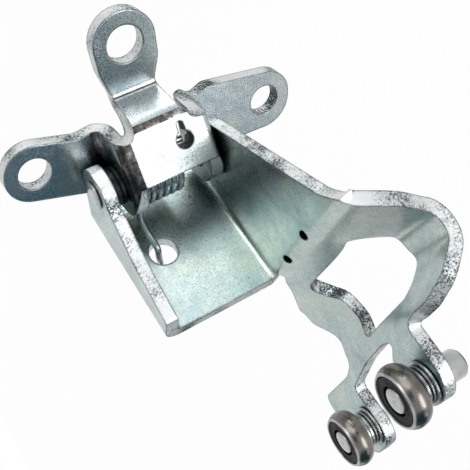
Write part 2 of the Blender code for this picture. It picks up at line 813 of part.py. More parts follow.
def crown(top, bottom):
    """The barrel shaped running surface, top to bottom."""
    half = (top - bottom) / 2
    drop = ROLLER_R - ROLLER_RIM_R
    radius = (half * half + drop * drop) / (2 * drop)
    points = []
    for i in range(8):
        height = half * cos(pi * i / 7)
        points.append((ROLLER_R - radius + (radius * radius - height * height) ** 0.5, (top + bottom) / 2 + height))
    return points


def groove(centre_h, side):
    """Half round ball groove, top to bottom, on the core ring (-1) or the outer ring (+1)."""
    radius = BALL_R + SEAT
    wall = core_r if side < 0 else ring_inner_r
    reach = abs(wall - ball_ring_r)
    spread = degrees(acos(reach / radius))
    points = []
    for i in range(4):
        angle = radians(spread - 2 * spread * i / 3)
        points.append((ball_ring_r + side * radius * cos(angle), centre_h + radius * sin(angle)))
    return points


def bearing(label, axis, group, cutters, looks):
    top = ROLLER_FACE
    bottom = ROLLER_FACE - ROLLER_W
    middle = (top + bottom) / 2
    seat = SEAL_SINK + SEAL_T + SEAT
    ring = crown(top, bottom)
    ring += [(seal_out_r + 0.1, bottom), (seal_out_r, bottom + 0.1), (seal_out_r, bottom + seat)]
    ring += [(ring_inner_r, bottom + seat)] + groove(middle, 1)[::-1] + [(ring_inner_r, top - seat)]
    ring += [(seal_out_r, top - seat), (seal_out_r, top - 0.1), (seal_out_r + 0.1, top)]
    bore = STUD_R + SEAT
    sunk = top - STUD_HEAD - SEAT
    core = [(bore, sunk), (seal_in_r, sunk), (seal_in_r, top - seat), (core_r, top - seat)]
    core += groove(middle, -1)
    core += [(core_r, bottom + seat), (seal_in_r, bottom + seat), (seal_in_r, bottom + SEAT), (bore, bottom + SEAT)]
    pieces = [
        turned(f"{label}_outer_ring", ring, 30, group, looks["bearing_steel"]),
        turned(f"{label}_inner_ring", core, 24, group, looks["bearing_steel"]),
    ]
    for side, high in (("front", top - SEAL_SINK), ("back", bottom + SEAL_SINK + SEAL_T)):
        low = high - SEAL_T
        pieces.append(turned(f"{label}_{side}_seal", [
            (seal_in_r + SEAT, high), (seal_out_r - SEAT, high), (seal_out_r - SEAT, low), (seal_in_r + SEAT, low),
        ], 28, group, looks["seal_rubber"]))
    pieces.append(cage(label, middle, group, cutters, axis, looks["cage_steel"]))
    for i in range(BALLS):
        pieces.append(ball(f"{label}_ball_{i + 1}", i, middle, group, looks["bearing_steel"]))
    for piece in pieces:
        piece.parent = axis


def cage(label, middle, group, cutters, axis, surface):
    """A ring between the rings with one pocket for each ball."""
    half = BALL_R + SEAT + 0.35
    inner = core_r + SEAT
    outer = ring_inner_r - SEAT
    made = turned(f"{label}_cage", [
        (inner, middle + half), (outer, middle + half), (outer, middle - half), (inner, middle - half),
    ], 28, group, surface)
    bm = bmesh.new()
    for i in range(BALLS):
        angle = 2 * pi * i / BALLS
        turn = Matrix.Rotation(angle, 4, "Z") @ Matrix.Translation((ball_ring_r, 0, middle))
        turn = turn @ Matrix.Rotation(pi / 2, 4, "Y")
        bmesh.ops.create_cone(
            bm, cap_ends=True, segments=8, radius1=BALL_R + SEAT, radius2=BALL_R + SEAT, depth=4.0, matrix=turn)
    pockets = finish_mesh(f"{label}_pockets", bm, cutters)
    pockets.parent = axis
    cut(made, pockets)
    return made


def ball(name, index, middle, group, surface):
    bm = bmesh.new()
    bmesh.ops.create_icosphere(bm, subdivisions=2, radius=BALL_R)
    made = finish_mesh(name, bm, group, surface, smooth=True)
    angle = 2 * pi * index / BALLS
    made.location = (ball_ring_r * cos(angle) * MM, ball_ring_r * sin(angle) * MM, middle * MM)
    return made


def build():
    clear_scene()
    parts = collection("sliding_door_hinge")
    cutters = collection("cutters")
    looks = {
        "zinc_bracket": material("zinc_bracket", (0.62, 0.66, 0.66), 0.32, 0.95),
        "zinc_arm": material("zinc_arm", (0.55, 0.62, 0.62), 0.34, 0.95),
        "zinc_pin": material("zinc_pin", (0.60, 0.60, 0.58), 0.36, 0.95),
        "bronze_bush": material("bronze_bush", (0.45, 0.36, 0.22), 0.40, 0.9),
        "spring_wire": material("spring_wire", (0.50, 0.55, 0.56), 0.28, 0.95),
        "bearing_steel": material("bearing_steel", (0.52, 0.50, 0.48), 0.14, 1.0),
        "cage_steel": material("cage_steel", (0.45, 0.45, 0.44), 0.35, 0.9),
        "seal_rubber": material("seal_rubber", (0.015, 0.015, 0.018), 0.55, 0.0),
    }
    door_bracket(parts, cutters, looks["zinc_bracket"])
    hinge_arm(parts, cutters, looks["zinc_arm"])
    hinge_pin(parts, looks["zinc_pin"])
    flange_top = bushes(parts, looks["bronze_bush"])
    pin_washer(parts, looks["zinc_pin"], flange_top)
    torsion_spring(parts, looks["spring_wire"])
    for label, spot, guide in (("large", ROLLER_LARGE, True), ("small", ROLLER_SMALL, False)):
        axis = roller_axis(f"{label}_roller_axis", spot, parts)
        stud(f"{label}_stud", axis, guide, parts, looks["zinc_pin"])
        bearing(label, axis, parts, cutters, looks)


build()
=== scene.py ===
import bpy
import bmesh
from math import acos, atan2, ceil, cos, degrees, hypot, pi, radians, sin, tan
from mathutils import Matrix, Vector


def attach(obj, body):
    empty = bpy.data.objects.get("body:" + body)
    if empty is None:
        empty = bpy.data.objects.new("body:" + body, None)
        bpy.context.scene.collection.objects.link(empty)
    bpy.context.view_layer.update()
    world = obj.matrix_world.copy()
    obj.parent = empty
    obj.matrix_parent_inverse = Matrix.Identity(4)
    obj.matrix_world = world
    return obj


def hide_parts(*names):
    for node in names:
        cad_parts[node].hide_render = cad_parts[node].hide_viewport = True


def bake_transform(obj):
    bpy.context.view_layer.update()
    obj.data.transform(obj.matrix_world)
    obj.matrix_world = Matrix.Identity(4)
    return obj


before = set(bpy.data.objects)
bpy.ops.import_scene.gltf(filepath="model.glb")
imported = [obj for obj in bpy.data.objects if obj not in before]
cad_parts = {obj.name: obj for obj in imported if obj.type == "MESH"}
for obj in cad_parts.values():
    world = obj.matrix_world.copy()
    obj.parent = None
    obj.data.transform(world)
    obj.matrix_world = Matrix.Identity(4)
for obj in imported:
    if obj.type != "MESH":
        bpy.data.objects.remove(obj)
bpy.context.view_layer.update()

mm = 0.001  # shapes below are drawn in millimetres


# Camera, where the photograph was taken from
camera = {
    "place": (0.13061, -0.21322, 0.07906),
    "right": (-0.10206, -0.53097, -0.84123),
    "up": (0.73595, 0.52866, -0.42296),
    "back": (0.66930, -0.66227, 0.33681),
    "lens": 64.09,
    "sensor": 36.0,
    "near": 0.005,
}


def addObject(name, data):
    made = bpy.data.objects.new(name, data)
    bpy.context.scene.collection.objects.link(made)
    return made


def addCamera():
    data = bpy.data.cameras.new("photoCamera")
    data.lens = camera["lens"]
    data.sensor_width = camera["sensor"]
    data.clip_start = camera["near"]
    made = addObject("photoCamera", data)
    turn = Matrix((camera["right"], camera["up"], camera["back"])).transposed().to_4x4()
    made.matrix_world = Matrix.Translation(camera["place"]) @ turn
    bpy.context.scene.camera = made


addCamera()
print("camera ready")


# Small node helpers
def newMaterial(name):
    made = bpy.data.materials.new(name)
    made.use_nodes = True
    tree = made.node_tree
    return made, tree, tree.nodes["Principled BSDF"]


def addNode(tree, kind, settings=None, **links):
    made = tree.nodes.new("ShaderNode" + kind)
    for key, value in (settings or {}).items():
        if hasattr(made, key):
            setattr(made, key, value)
        else:
            made.inputs[key].default_value = value
    for key, source in links.items():
        tree.links.new(source, made.inputs[key])
    return made


def asColour(value):  # a plain number is a grey
    return (*value, 1.0) if isinstance(value, tuple) else (value, value, value, 1.0)


def addRamp(tree, source, stops):
    ramp = addNode(tree, "ValToRGB", Fac=source)
    elements = ramp.color_ramp.elements
    elements[0].position = stops[0][0]
    elements[1].position = stops[-1][0]
    for place, _ in stops[1:-1]:
        elements.new(place)
    for element, (_, colour) in zip(elements, stops):
        element.color = asColour(colour)
    return ramp.outputs["Color"]


def addMath(tree, operation, *terms):
    made = addNode(tree, "Math", {"operation": operation})
    for socket, term in zip(made.inputs, terms):
        if isinstance(term, bpy.types.NodeSocket):
            tree.links.new(term, socket)
        else:
            socket.default_value = term
    return made.outputs["Value"]


def addNoise(tree, where, scale, detail, rough=0.5, twist=0.0):
    settings = {"Scale": scale, "Detail": detail, "Roughness": rough, "Distortion": twist}
    return addNode(tree, "TexNoise", settings, Vector=where).outputs["Fac"]


def mixColour(tree, blend, factor, first, second):
    mix = addNode(tree, "Mix", {"data_type": "RGBA", "blend_type": blend})
    for name, value in (("Factor", factor), ("A", first), ("B", second)):
        socket = [s for s in mix.inputs if s.name == name and s.enabled][0]
        if isinstance(value, bpy.types.NodeSocket):
            tree.links.new(value, socket)
        else:
            socket.default_value = value if name == "Factor" else asColour(value)
    return [s for s in mix.outputs if s.enabled][0]


def objectPlace(tree):
    return addNode(tree, "TexCoord").outputs["Object"]


def finishSurface(tree, shader, colour, rough, height, strength, depth, metal=1.0, **normal):
    tree.links.new(colour, shader.inputs["Base Color"])
    tree.links.new(rough, shader.inputs["Roughness"])
    shader.inputs["Metallic"].default_value = metal
    bump = addNode(tree, "Bump", {"Strength": strength, "Distance": depth}, Height=height, **normal)
    tree.links.new(bump.outputs["Normal"], shader.inputs["Normal"])


# Painted rim shade: the shading is rounded over a sharp rim, and a dark line of painted shade is laid along
# the rim, broken by noise
paintedRimShade = {
    "radius": 0.95,
    "dark": (0.012, 0.022, 0.026),
    "near": [(0.88, 1.0), (0.993, 0.0)],
    "rimGapScale": 420.0,
    "broken": [(0.32, 1.0), (0.74, 0.45)],
}


def paintRimShade(tree, colour, where, amount=0.95):
    soft = addNode(tree, "Bevel", {"samples": 6, "Radius": paintedRimShade["radius"] * mm}).outputs["Normal"]
    flat = addNode(tree, "NewGeometry").outputs["Normal"]
    match = addNode(tree, "VectorMath", {"operation": "DOT_PRODUCT"})
    tree.links.new(soft, match.inputs[0])
    tree.links.new(flat, match.inputs[1])
    near = addRamp(tree, match.outputs["Value"], paintedRimShade["near"])
    rimGaps = addNoise(tree, where, paintedRimShade["rimGapScale"], 4.0, 0.7)
    mask = mixColour(tree, "MULTIPLY", 1.0, near, addRamp(tree, rimGaps, paintedRimShade["broken"]))
    strength = mixColour(tree, "MIX", amount, 0.0, mask)
    return mixColour(tree, "MIX", strength, colour, paintedRimShade["dark"]), soft


# Zinc plated sheet: milky grey clouds of blue, green and straw, a fine matt grain, and painted shade that
# darkens the hollows by ambient occlusion
zincSheet = {
    "bracketTints": [(0.30, (0.32, 0.37, 0.40)), (0.44, (0.39, 0.44, 0.46)), (0.58, (0.45, 0.49, 0.50)),
                     (0.74, (0.54, 0.57, 0.58))],
    "armTints": [(0.28, (0.26, 0.35, 0.37)), (0.43, (0.36, 0.45, 0.45)), (0.58, (0.43, 0.50, 0.47)),
                 (0.76, (0.54, 0.60, 0.59))],
    "bendShadeTints": [(0.30, (0.02, 0.025, 0.03)), (0.44, (0.07, 0.07, 0.07)), (0.58, (0.17, 0.16, 0.15)),
                  (0.74, (0.40, 0.40, 0.39))],
    "shadedHollowTints": [(0.30, (0.04, 0.06, 0.07)), (0.44, (0.08, 0.10, 0.11)), (0.58, (0.12, 0.14, 0.15)),
                    (0.74, (0.20, 0.22, 0.22))],
    "cloudScale": 48.0,
    "mottleScale": 330.0,
    "straw": (0.50, 0.50, 0.38),
    "strawScale": 70.0,
    "strawPatches": [(0.54, 0.0), (0.74, 0.4)],
    "grainScale": 1500.0,
    "grainDepth": 0.00006,
    "grainTints": [(0.33, 0.50), (0.45, 0.92), (0.58, 1.0), (0.70, 1.25)],
    "rough": [(0.3, 0.36), (0.7, 0.20)],
    "hollow": 0.009,
    "paintedHollowShade": [(0.14, (0.01, 0.07, 0.10)), (0.32, (0.40, 0.58, 0.62)), (0.52, 1.0)],
}


def zincMaterial(name, tints, seed, speckle=0.45):
    made, tree, shader = newMaterial(name)
    where = objectPlace(tree)
    moved = addNode(tree, "Mapping", {"Location": (seed, seed * 0.7, 0.0)}, Vector=where)
    moved = moved.outputs["Vector"]
    clouds = addNoise(tree, moved, zincSheet["cloudScale"], 6.0, 0.62, 0.6)
    mottle = addNoise(tree, moved, zincSheet["mottleScale"], 5.0, 0.7)
    grain = addNoise(tree, moved, zincSheet["grainScale"], 3.0, 0.7)
    straw = addNoise(tree, moved, zincSheet["strawScale"], 3.0)
    total = addMath(tree, "ADD", clouds, addMath(tree, "MULTIPLY_ADD", mottle, speckle, -speckle / 2))
    fleck = addRamp(tree, grain, zincSheet["grainTints"])
    colour = mixColour(tree, "MULTIPLY", 0.8, addRamp(tree, total, tints), fleck)
    patches = addRamp(tree, straw, zincSheet["strawPatches"])
    colour = mixColour(tree, "MIX", patches, colour, zincSheet["straw"])
    # painted shade: ambient occlusion darkens the colour in corners, creases and hollows
    hollow = addNode(tree, "AmbientOcclusion", {"samples": 6, "Distance": zincSheet["hollow"]})
    paintedShade = addRamp(tree, hollow.outputs["AO"], zincSheet["paintedHollowShade"])
    colour = mixColour(tree, "MULTIPLY", 0.95, colour, paintedShade)
    colour, soft = paintRimShade(tree, colour, where)
    matt = mixColour(tree, "MULTIPLY", 0.4, addRamp(tree, total, zincSheet["rough"]), fleck)
    finishSurface(tree, shader, colour, matt, grain, 0.5, zincSheet["grainDepth"], Normal=soft)
    return made


# Sheared edges of the sheet: bright metal torn into fine dark flecks
cutEdge = {
    "bright": (0.66, 0.68, 0.68),
    "middle": (0.34, 0.37, 0.38),
    "dark": (0.035, 0.045, 0.05),
    "fleckScale": 1500.0,
    "patchScale": 90.0,
    "patchShare": 0.7,
    "rough": [(0.35, 0.6), (0.6, 0.35)],
    "depth": 0.00012,
}


def cutEdgeMaterial(name, shade):
    made, tree, shader = newMaterial(name)
    where = objectPlace(tree)
    flecks = addNoise(tree, where, cutEdge["fleckScale"], 5.0, 0.8)
    patches = addNoise(tree, where, cutEdge["patchScale"], 2.0)
    torn = addMath(tree, "MULTIPLY_ADD", patches, cutEdge["patchShare"], flecks)
    bright = tuple(shade * c for c in cutEdge["bright"])
    colour = addRamp(tree, torn, [(0.74, cutEdge["dark"]), (0.79, cutEdge["middle"]), (0.88, bright)])
    colour, soft = paintRimShade(tree, colour, where)
    matt = addRamp(tree, flecks, cutEdge["rough"])
    finishSurface(tree, shader, colour, matt, flecks, 0.7, cutEdge["depth"], Normal=soft)
    return made


# Turned and polished metals: colour, worn colour, smooth and dull roughness, scale of the tool lines
turnedMetals = {
    "ballRaceSteel": ((0.12, 0.11, 0.10), (0.22, 0.205, 0.19), (0.20, 0.30), 900.0),
    # dark steel for the inner rings, also laid as painted shade on the hinge pin's shank and the guide's end
    # chamfer
    "darkSteelPaintedShade": ((0.02, 0.02, 0.02), (0.05, 0.05, 0.05), (0.30, 0.45), 900.0),
    "turnedZinc": ((0.30, 0.33, 0.34), (0.52, 0.53, 0.52), (0.20, 0.34), 1400.0),
    "guideSteel": ((0.36, 0.37, 0.37), (0.50, 0.51, 0.51), (0.12, 0.20), 1400.0),
    "pressedSteel": ((0.40, 0.40, 0.39), (0.52, 0.51, 0.49), (0.30, 0.45), 700.0),
    "shadedBore": ((0.004, 0.005, 0.006), (0.016, 0.018, 0.02), (0.50, 0.70), 800.0),
    # near-black bronze: painted shade for the washer and bushes at the hinge
    "shadedBronze": ((0.010, 0.012, 0.013), (0.045, 0.045, 0.042), (0.40, 0.60), 800.0),
    "springWire": ((0.20, 0.25, 0.27), (0.55, 0.60, 0.62), (0.16, 0.30), 1100.0),
}


toolMarks = {
    "along": (0.12, 0.12, 1.0),
    "patchScale": 160.0,
    "paintRimShade": 0.6,
    "depth": 0.00002,
}


def turnedMaterial(name):
    made, tree, shader = newMaterial(name)
    fresh, worn, (low, high), lineScale = turnedMetals[name]
    where = objectPlace(tree)
    drawn = addNode(tree, "Mapping", {"Scale": toolMarks["along"]}, Vector=where).outputs["Vector"]
    lines = addNoise(tree, drawn, lineScale, 3.0)
    patches = addNoise(tree, where, toolMarks["patchScale"], 4.0, 0.65)
    colour = addRamp(tree, patches, [(0.35, fresh), (0.68, worn)])
    # painted shade: a dark line along the rims, at a lower amount
    colour, soft = paintRimShade(tree, colour, where, toolMarks["paintRimShade"])
    matt = addRamp(tree, lines, [(0.35, high), (0.65, low)])
    finishSurface(tree, shader, colour, matt, lines, 0.18, toolMarks["depth"], Normal=soft)
    return made


sealRubber = {
    "colour": (0.004, 0.004, 0.006),
    "dust": (0.014, 0.014, 0.018),
    "dustScale": 420.0,
    "rough": (0.36, 0.60),
    "shine": 0.12,
}


def rubberMaterial():
    made, tree, shader = newMaterial("sealRubber")
    dust = addNoise(tree, objectPlace(tree), sealRubber["dustScale"], 5.0)
    colour = addRamp(tree, dust, [(0.4, sealRubber["colour"]), (0.75, sealRubber["dust"])])
    low, high = sealRubber["rough"]
    matt = addRamp(tree, dust, [(0.3, low), (0.7, high)])
    finishSurface(tree, shader, colour, matt, dust, 0.25, 0.00003, metal=0.0)
    shader.inputs["Specular IOR Level"].default_value = sealRubber["shine"]
    return made


looks = {
    "bracketSheet": zincMaterial("bracketSheet", zincSheet["bracketTints"], 0.31),
    "armSheet": zincMaterial("armSheet", zincSheet["armTints"], 1.17),
    # painted shade: a darker copy of the zinc for the inside of the bracket's hollow
    "shadedHollowSheet": zincMaterial("shadedHollowSheet", zincSheet["shadedHollowTints"], 0.43),
    # painted shade: near-black speckled zinc for the two sharp bends
    "bendShadeSheet": zincMaterial("bendShadeSheet", zincSheet["bendShadeTints"], 0.77, 1.4),
    "bracketEdge": cutEdgeMaterial("bracketEdge", 0.85),
    "armEdge": cutEdgeMaterial("armEdge", 1.0),
    "shadedEdge": cutEdgeMaterial("shadedEdge", 0.3),
    "sealRubber": rubberMaterial(),
}
for metal in turnedMetals:
    looks[metal] = turnedMaterial(metal)
print("materials ready")


# Flat outlines and turned profiles
def arc(x, y, radius, start, end, steps):
    points = []
    for i in range(steps + 1):
        angle = radians(start + (end - start) * i / steps)
        points.append((x + radius * cos(angle), y + radius * sin(angle), 0.0))
    return points


def filletReaches(corners, closed):
    count = len(corners)
    halves = []
    wanted = []
    for i, (x, y, radius) in enumerate(corners):
        before = Vector(corners[i - 1][:2]) - Vector((x, y))
        after = Vector(corners[(i + 1) % count][:2]) - Vector((x, y))
        straight = before.normalized().dot(after.normalized())
        half = acos(max(-1.0, min(1.0, straight))) / 2
        ended = not closed and i in (0, count - 1)
        halves.append(half)
        wanted.append(0.0 if ended or radius <= 0 else radius / tan(half))
    reaches = list(wanted)
    for i in range(count):
        k = (i + 1) % count
        side = hypot(corners[k][0] - corners[i][0], corners[k][1] - corners[i][1])
        total = wanted[i] + wanted[k]
        if total > side * 0.99:  # two fillets share a short side
            reaches[i] = min(reaches[i], wanted[i] * side * 0.99 / total)
            reaches[k] = min(reaches[k], wanted[k] * side * 0.99 / total)
    return reaches, halves


def rounded(corners, closed=True, step=8.0):
    points = []
    count = len(corners)
    reaches, halves = filletReaches(corners, closed)
    for i, (x, y, _) in enumerate(corners):
        here = Vector((x, y))
        if reaches[i] <= 0:
            points.append(here)
            continue
        before = (Vector(corners[i - 1][:2]) - here).normalized()
        after = (Vector(corners[(i + 1) % count][:2]) - here).normalized()
        radius = reaches[i] * tan(halves[i])
        centre = here + (before + after).normalized() * (radius / sin(halves[i]))
        first = here + before * reaches[i] - centre
        last = here + after * reaches[i] - centre
        turn = first.angle_signed(last)
        steps = max(2, ceil(abs(degrees(turn)) / step))
        for k in range(steps + 1):
            spin = Matrix.Rotation(-turn * k / steps, 2)
            points.append(centre + spin @ first)
    return points


def strip(path, thickness):  # a folded strip, thickness to the left of its path
    left = []
    right = []
    count = len(path)
    normals = []
    for i in range(count - 1):
        run = (Vector(path[i + 1][:2]) - Vector(path[i][:2])).normalized()
        normals.append(Vector((-run.y, run.x)))
    for i, (x, y, radius, *outerR) in enumerate(path):
        here = Vector((x, y))
        n1 = normals[max(0, i - 1)]
        n2 = normals[min(count - 2, i)]
        shift = (n1 + n2) * (thickness / (1 + n1.dot(n2)))
        turnsLeft = n1.cross(n2) > 0
        inner = radius if 0 < i < count - 1 else 0.0
        outer = (outerR[0] if outerR else radius + thickness) if inner else 0.0
        right.append((here.x, here.y, outer if turnsLeft else inner))
        left.append((here.x + shift.x, here.y + shift.y, inner if turnsLeft else outer))
    return rounded(right + left[::-1])


def meshFrom(name, bm, materials):
    mesh = bpy.data.meshes.new(name)
    bm.to_mesh(mesh)
    bm.free()
    for look in materials:
        mesh.materials.append(look)
    return addObject(name, mesh)


def meshObject(name, bm, materials, shell=False):
    if not shell:
        bmesh.ops.recalc_face_normals(bm, faces=bm.faces)
    bmesh.ops.scale(bm, vec=(mm, mm, mm), verts=bm.verts)
    return meshFrom(name, bm, [looks[look] for look in materials])


def prism(outline, low, high, place):
    bm = bmesh.new()
    verts = [bm.verts.new(place(u, v, low)) for u, v in outline]
    face = bm.faces.new(verts)
    raised = bmesh.ops.extrude_face_region(bm, geom=[face])["geom"]
    shift = Vector(place(0, 0, high)) - Vector(place(0, 0, low))
    bmesh.ops.translate(bm, vec=shift, verts=[v for v in raised if isinstance(v, bmesh.types.BMVert)])
    return bm


def alongX(u, v, w):
    return (w, v, u)


def alongY(u, v, w):
    return (u, w, v)


def alongZ(u, v, w):
    return (u, v, w)


def drill(radius, low, high, centre, turn, look, sides=72):
    bm = bmesh.new()
    depth = high - low
    bmesh.ops.create_cone(bm, cap_ends=True, segments=sides, radius1=radius, radius2=radius, depth=depth)
    bmesh.ops.translate(bm, vec=(0, 0, (low + high) / 2), verts=bm.verts)
    bmesh.ops.transform(bm, matrix=Matrix.Translation(Vector(centre)) @ turn, verts=bm.verts)
    return meshObject("drill", bm, [look])


def shownMesh(target):
    depsgraph = bpy.context.evaluated_depsgraph_get()
    return bpy.data.meshes.new_from_object(target.evaluated_get(depsgraph), depsgraph=depsgraph)


def settle(target):  # keeps the shape that the modifiers give
    mesh = shownMesh(target)
    target.modifiers.clear()
    target.data = mesh


def cutWith(target, tools):  # each tool cuts, joins or trims, in turn, and is then dropped
    for tool, operation in tools:
        step = target.modifiers.new("Cut", "BOOLEAN")
        step.operation = operation
        step.solver = "EXACT"
        step.material_mode = "TRANSFER"
        step.object = tool
    settle(target)
    for tool, _ in tools:
        bpy.data.objects.remove(tool, do_unlink=True)


def joinNear(target):
    join = target.modifiers.new("Join", "WELD")
    join.merge_threshold = 0.03 * mm
    settle(target)


def smoothByAngle(target, angle=32.0, even=False):
    mesh = target.data
    mesh.shade_smooth()
    bm = bmesh.new()
    bm.from_mesh(mesh)
    limit = radians(angle)
    for edge in bm.edges:
        edge.smooth = len(edge.link_faces) == 2 and edge.calc_face_angle(0.0) < limit
    bm.to_mesh(mesh)
    bm.free()
    if even:  # large faces stay flat up to their rounded rims
        weigh = target.modifiers.new("Weigh", "WEIGHTED_NORMAL")
        weigh.mode = "FACE_AREA"
        weigh.weight = 90
        weigh.keep_sharp = True
        settle(target)


# Door bracket: three ears, two walls with lugs, and a tilted box face with a keyhole
bracket = {
    "sheet": 4.3,
    "topHole": (11.0, 0.0),
    "topHoleR": 5.9,
    "leftHole": (-18.7, 37.0),
    "rightHole": (-28.1, -45.3),
    "sideHoleR": 5.33,
    "leftWall": 14.8,
    "rightWall": -16.6,
    "leftFootR": 3.0,
    "rightFootR": 1.0,
    "boxCornerR": 1.1,
    "tightCornerR": 2.4,
    "pivot": (-28.5, -13.0),
    "faceTilt": 23.3,
    "faceOffset": 11.2,
    "faceFoot": -2.1,
    "boxEnd": -12.0,
    "lugR": 10.8,
    "lugLean": 12.0,
    "lugCornerR": 0.6,
    "lugBore": 5.8,
    "slotGap": 0.15,
    "webStartX": -12.45,
    "webTopX": -8.5,
    "webFootX": -4.7,
    "webBendR": 2.0,
    "webHalf": 12.5,
    "webSkin": 0.03,
    "keyUp": 7.2,
    "keyZ": -6.6,
    "keyR": 2.9,
    "keySlot": 2.3,
    "keyTop": 13.3,
}
tilt = radians(bracket["faceTilt"])
faceDir = Vector((cos(tilt), sin(tilt)))
faceOut = Vector((sin(tilt), -cos(tilt)))
pivot = Vector(bracket["pivot"])
sheet = bracket["sheet"]
leftWall = bracket["leftWall"]
rightWall = bracket["rightWall"]
past = 3.0  # how far a drill reaches out of the metal


def faceY(x):
    return pivot.y - (bracket["faceOffset"] - (x - pivot.x) * faceOut.x) / cos(tilt)


def bracketOutline():
    top, left, right = bracket["topHole"], bracket["leftHole"], bracket["rightHole"]
    foot = bracket["webFootX"]
    return rounded([
        (top[0] + 10.6, 10.6, 10.5), (top[0] - 7.0, 9.9, 8.0),
        (foot, 7.4, 6.0), (-12.6, 7.9, 4.0),
        (-12.4, leftWall, 1.5), (-13.4, 21.0, 8.0),
        (left[0] + 12.2, left[1] + 6.3, 9.6), (left[0] - 6.3, left[1] + 12.2, 9.6),
        (-35.1, 18.0, 3.0), (-41.0, leftWall + 0.8, 0.0),
        (-41.0, rightWall - 0.6, 0.0), (-37.4, -20.5, 3.0),
        (right[0] - 11.3, right[1] - 8.5, 9.8), (right[0] + 8.5, right[1] - 11.4, 9.8),
        (-13.8, -24.6, 4.0), (-15.8, -19.4, 2.5),
        (-13.4, rightWall, 1.5), (-12.4, -11.2, 3.0),
        (foot, -6.7, 6.0), (top[0] - 7.0, -9.9, 8.0),
        (top[0] + 10.6, -10.6, 10.5),
    ])


def bracketHat():
    startX = -42.0
    endX = -8.0
    startY = faceY(startX)
    section = strip([
        (-70.0, -sheet, 0.0),
        (rightWall, -sheet, bracket["rightFootR"]),
        (rightWall, startY, bracket["boxCornerR"], bracket["tightCornerR"]),
        (leftWall, startY, bracket["boxCornerR"]),
        (leftWall, -sheet, bracket["leftFootR"]),
        (60.0, -sheet, 0.0),
    ], sheet)
    bm = prism(section, startX, endX, alongX)
    rise = faceY(endX) - startY
    for vert in bm.verts:
        if vert.co.y > startY / 2:
            continue
        vert.co.y = startY + (vert.co.y - startY) / cos(tilt)
        if vert.co.x > 0.5 * (startX + endX):
            vert.co.y += rise
    return meshObject("bracketSheet", bm, ["bracketSheet", "bracketEdge"])


def bracketWeb():
    inset = faceOut * -bracket["webSkin"]
    thick = sheet - 2 * bracket["webSkin"]
    start, top, bendR, half = bracket["webStartX"], bracket["webTopX"], bracket["webBendR"], bracket["webHalf"]
    path = [
        (start + inset.x, faceY(start) + inset.y, 0.0),
        (top + inset.x, faceY(top) + inset.y, bendR),
        (bracket["webFootX"], -thick, bendR),
        (bracket["topHole"][0] + 14.0, -thick, 0.0),
    ]
    return meshObject("web", prism(strip(path, thick), -half, half, alongZ), ["bracketSheet"])


def boxEndTool():
    end, deep = bracket["boxEnd"], -sheet - 2.0
    outline = [(end, -40.0), (0.0, -40.0), (0.0, deep), (end, deep)]
    bm = prism(outline, rightWall - 2.0, leftWall + 4.0, alongZ)
    return meshObject("boxEnd", bm, ["bracketEdge"])


def slotTool():  # the gap between the two lugs
    foot = faceDir * bracket["faceFoot"]
    front = pivot + faceOut * (bracket["faceOffset"] + 2) + foot
    back = pivot + foot - faceOut * 2
    outline = [(front.x, front.y), (back.x, back.y), (-45.0, back.y), (-45.0, -40.0), (front.x, -40.0)]
    low = rightWall + sheet + bracket["slotGap"]
    high = leftWall - sheet - bracket["slotGap"]
    return meshObject("slot", prism(outline, low, high, alongZ), ["shadedEdge"])


def keyholeTool():
    half = bracket["keySlot"] / 2
    radius = bracket["keyR"]
    neck = degrees(acos(half / radius))
    outline = arc(0, 0, radius, neck, -180 - neck, 40)
    rise = bracket["keyTop"] - bracket["keyUp"]
    outline += [(-half, rise, half), (half, rise, half)]
    bm = prism(rounded(outline), -sheet, 2 * sheet, alongZ)
    centre = pivot + faceOut * (bracket["faceOffset"] - sheet) + faceDir * bracket["keyUp"]
    turn = Matrix((
        (0, faceDir.x, faceOut.x, centre.x),
        (0, faceDir.y, faceOut.y, centre.y),
        (-1, 0, 0, bracket["keyZ"]),
        (0, 0, 0, 1),
    ))
    bmesh.ops.transform(bm, matrix=turn, verts=bm.verts)
    return meshObject("keyhole", bm, ["shadedBore"])


def lugTool():
    lean = radians(bracket["faceTilt"] - bracket["lugLean"])
    across = Vector((sin(lean), -cos(lean)))
    lugR = bracket["lugR"]
    foot = pivot + faceDir * bracket["faceFoot"]
    reach = (lugR - bracket["faceFoot"] * faceDir.dot(across)) / faceOut.dot(across)
    high = foot + faceOut * 60.0
    start = foot + faceOut * reach
    lugX = pivot.x - lugR
    lugTop = pivot.y - (lugR + lugR * sin(lean)) / cos(lean)
    outline = rounded([
        (high.x, high.y, 0.0),
        (start.x, start.y, bracket["lugCornerR"]),
        (lugX, lugTop, lugR),
        (lugX, 6.0, 0.0),
        (-60.0, 6.0, 0.0),
        (-60.0, -50.0, 0.0),
    ])
    return meshObject("lugEnds", prism(outline, -80.0, 70.0, alongZ), ["bracketEdge"])


# Painted shade: a dark speckled band along the box's two sharp bends, and a darker sheet on the inside of the
# hollow under the face
def markSheet(target):
    top = bracket["webTopX"]
    webRun = Vector((bracket["webFootX"] - top, -sheet - faceY(top), 0)).normalized()
    webOut = Vector((webRun.y, -webRun.x, 0))
    boxOut = Vector((*faceOut, 0))
    mesh = target.data
    bent = len(mesh.materials)
    mesh.materials.append(looks["bendShadeSheet"])
    mesh.materials.append(looks["shadedHollowSheet"])
    for polygon in mesh.polygons:
        if mesh.materials[polygon.material_index].name != "bracketSheet":
            continue
        out = polygon.normal
        z = polygon.center.z / mm
        leftBend = 0.12 < out.z < 0.93 and out.dot(boxOut) > 0.2
        webBend = abs(out.z) < 0.02 and 0.86 < out.dot(boxOut) < 0.985 and out.dot(webOut) > boxOut.dot(webOut)
        between = rightWall + 1 < z < leftWall - 1
        inward = out.dot(boxOut) < -0.5 or (abs(out.z) > 0.5 and out.z * z < 0)
        if leftBend or webBend:
            polygon.material_index = bent
        elif between and inward and polygon.center.x < 0:
            polygon.material_index = bent + 1


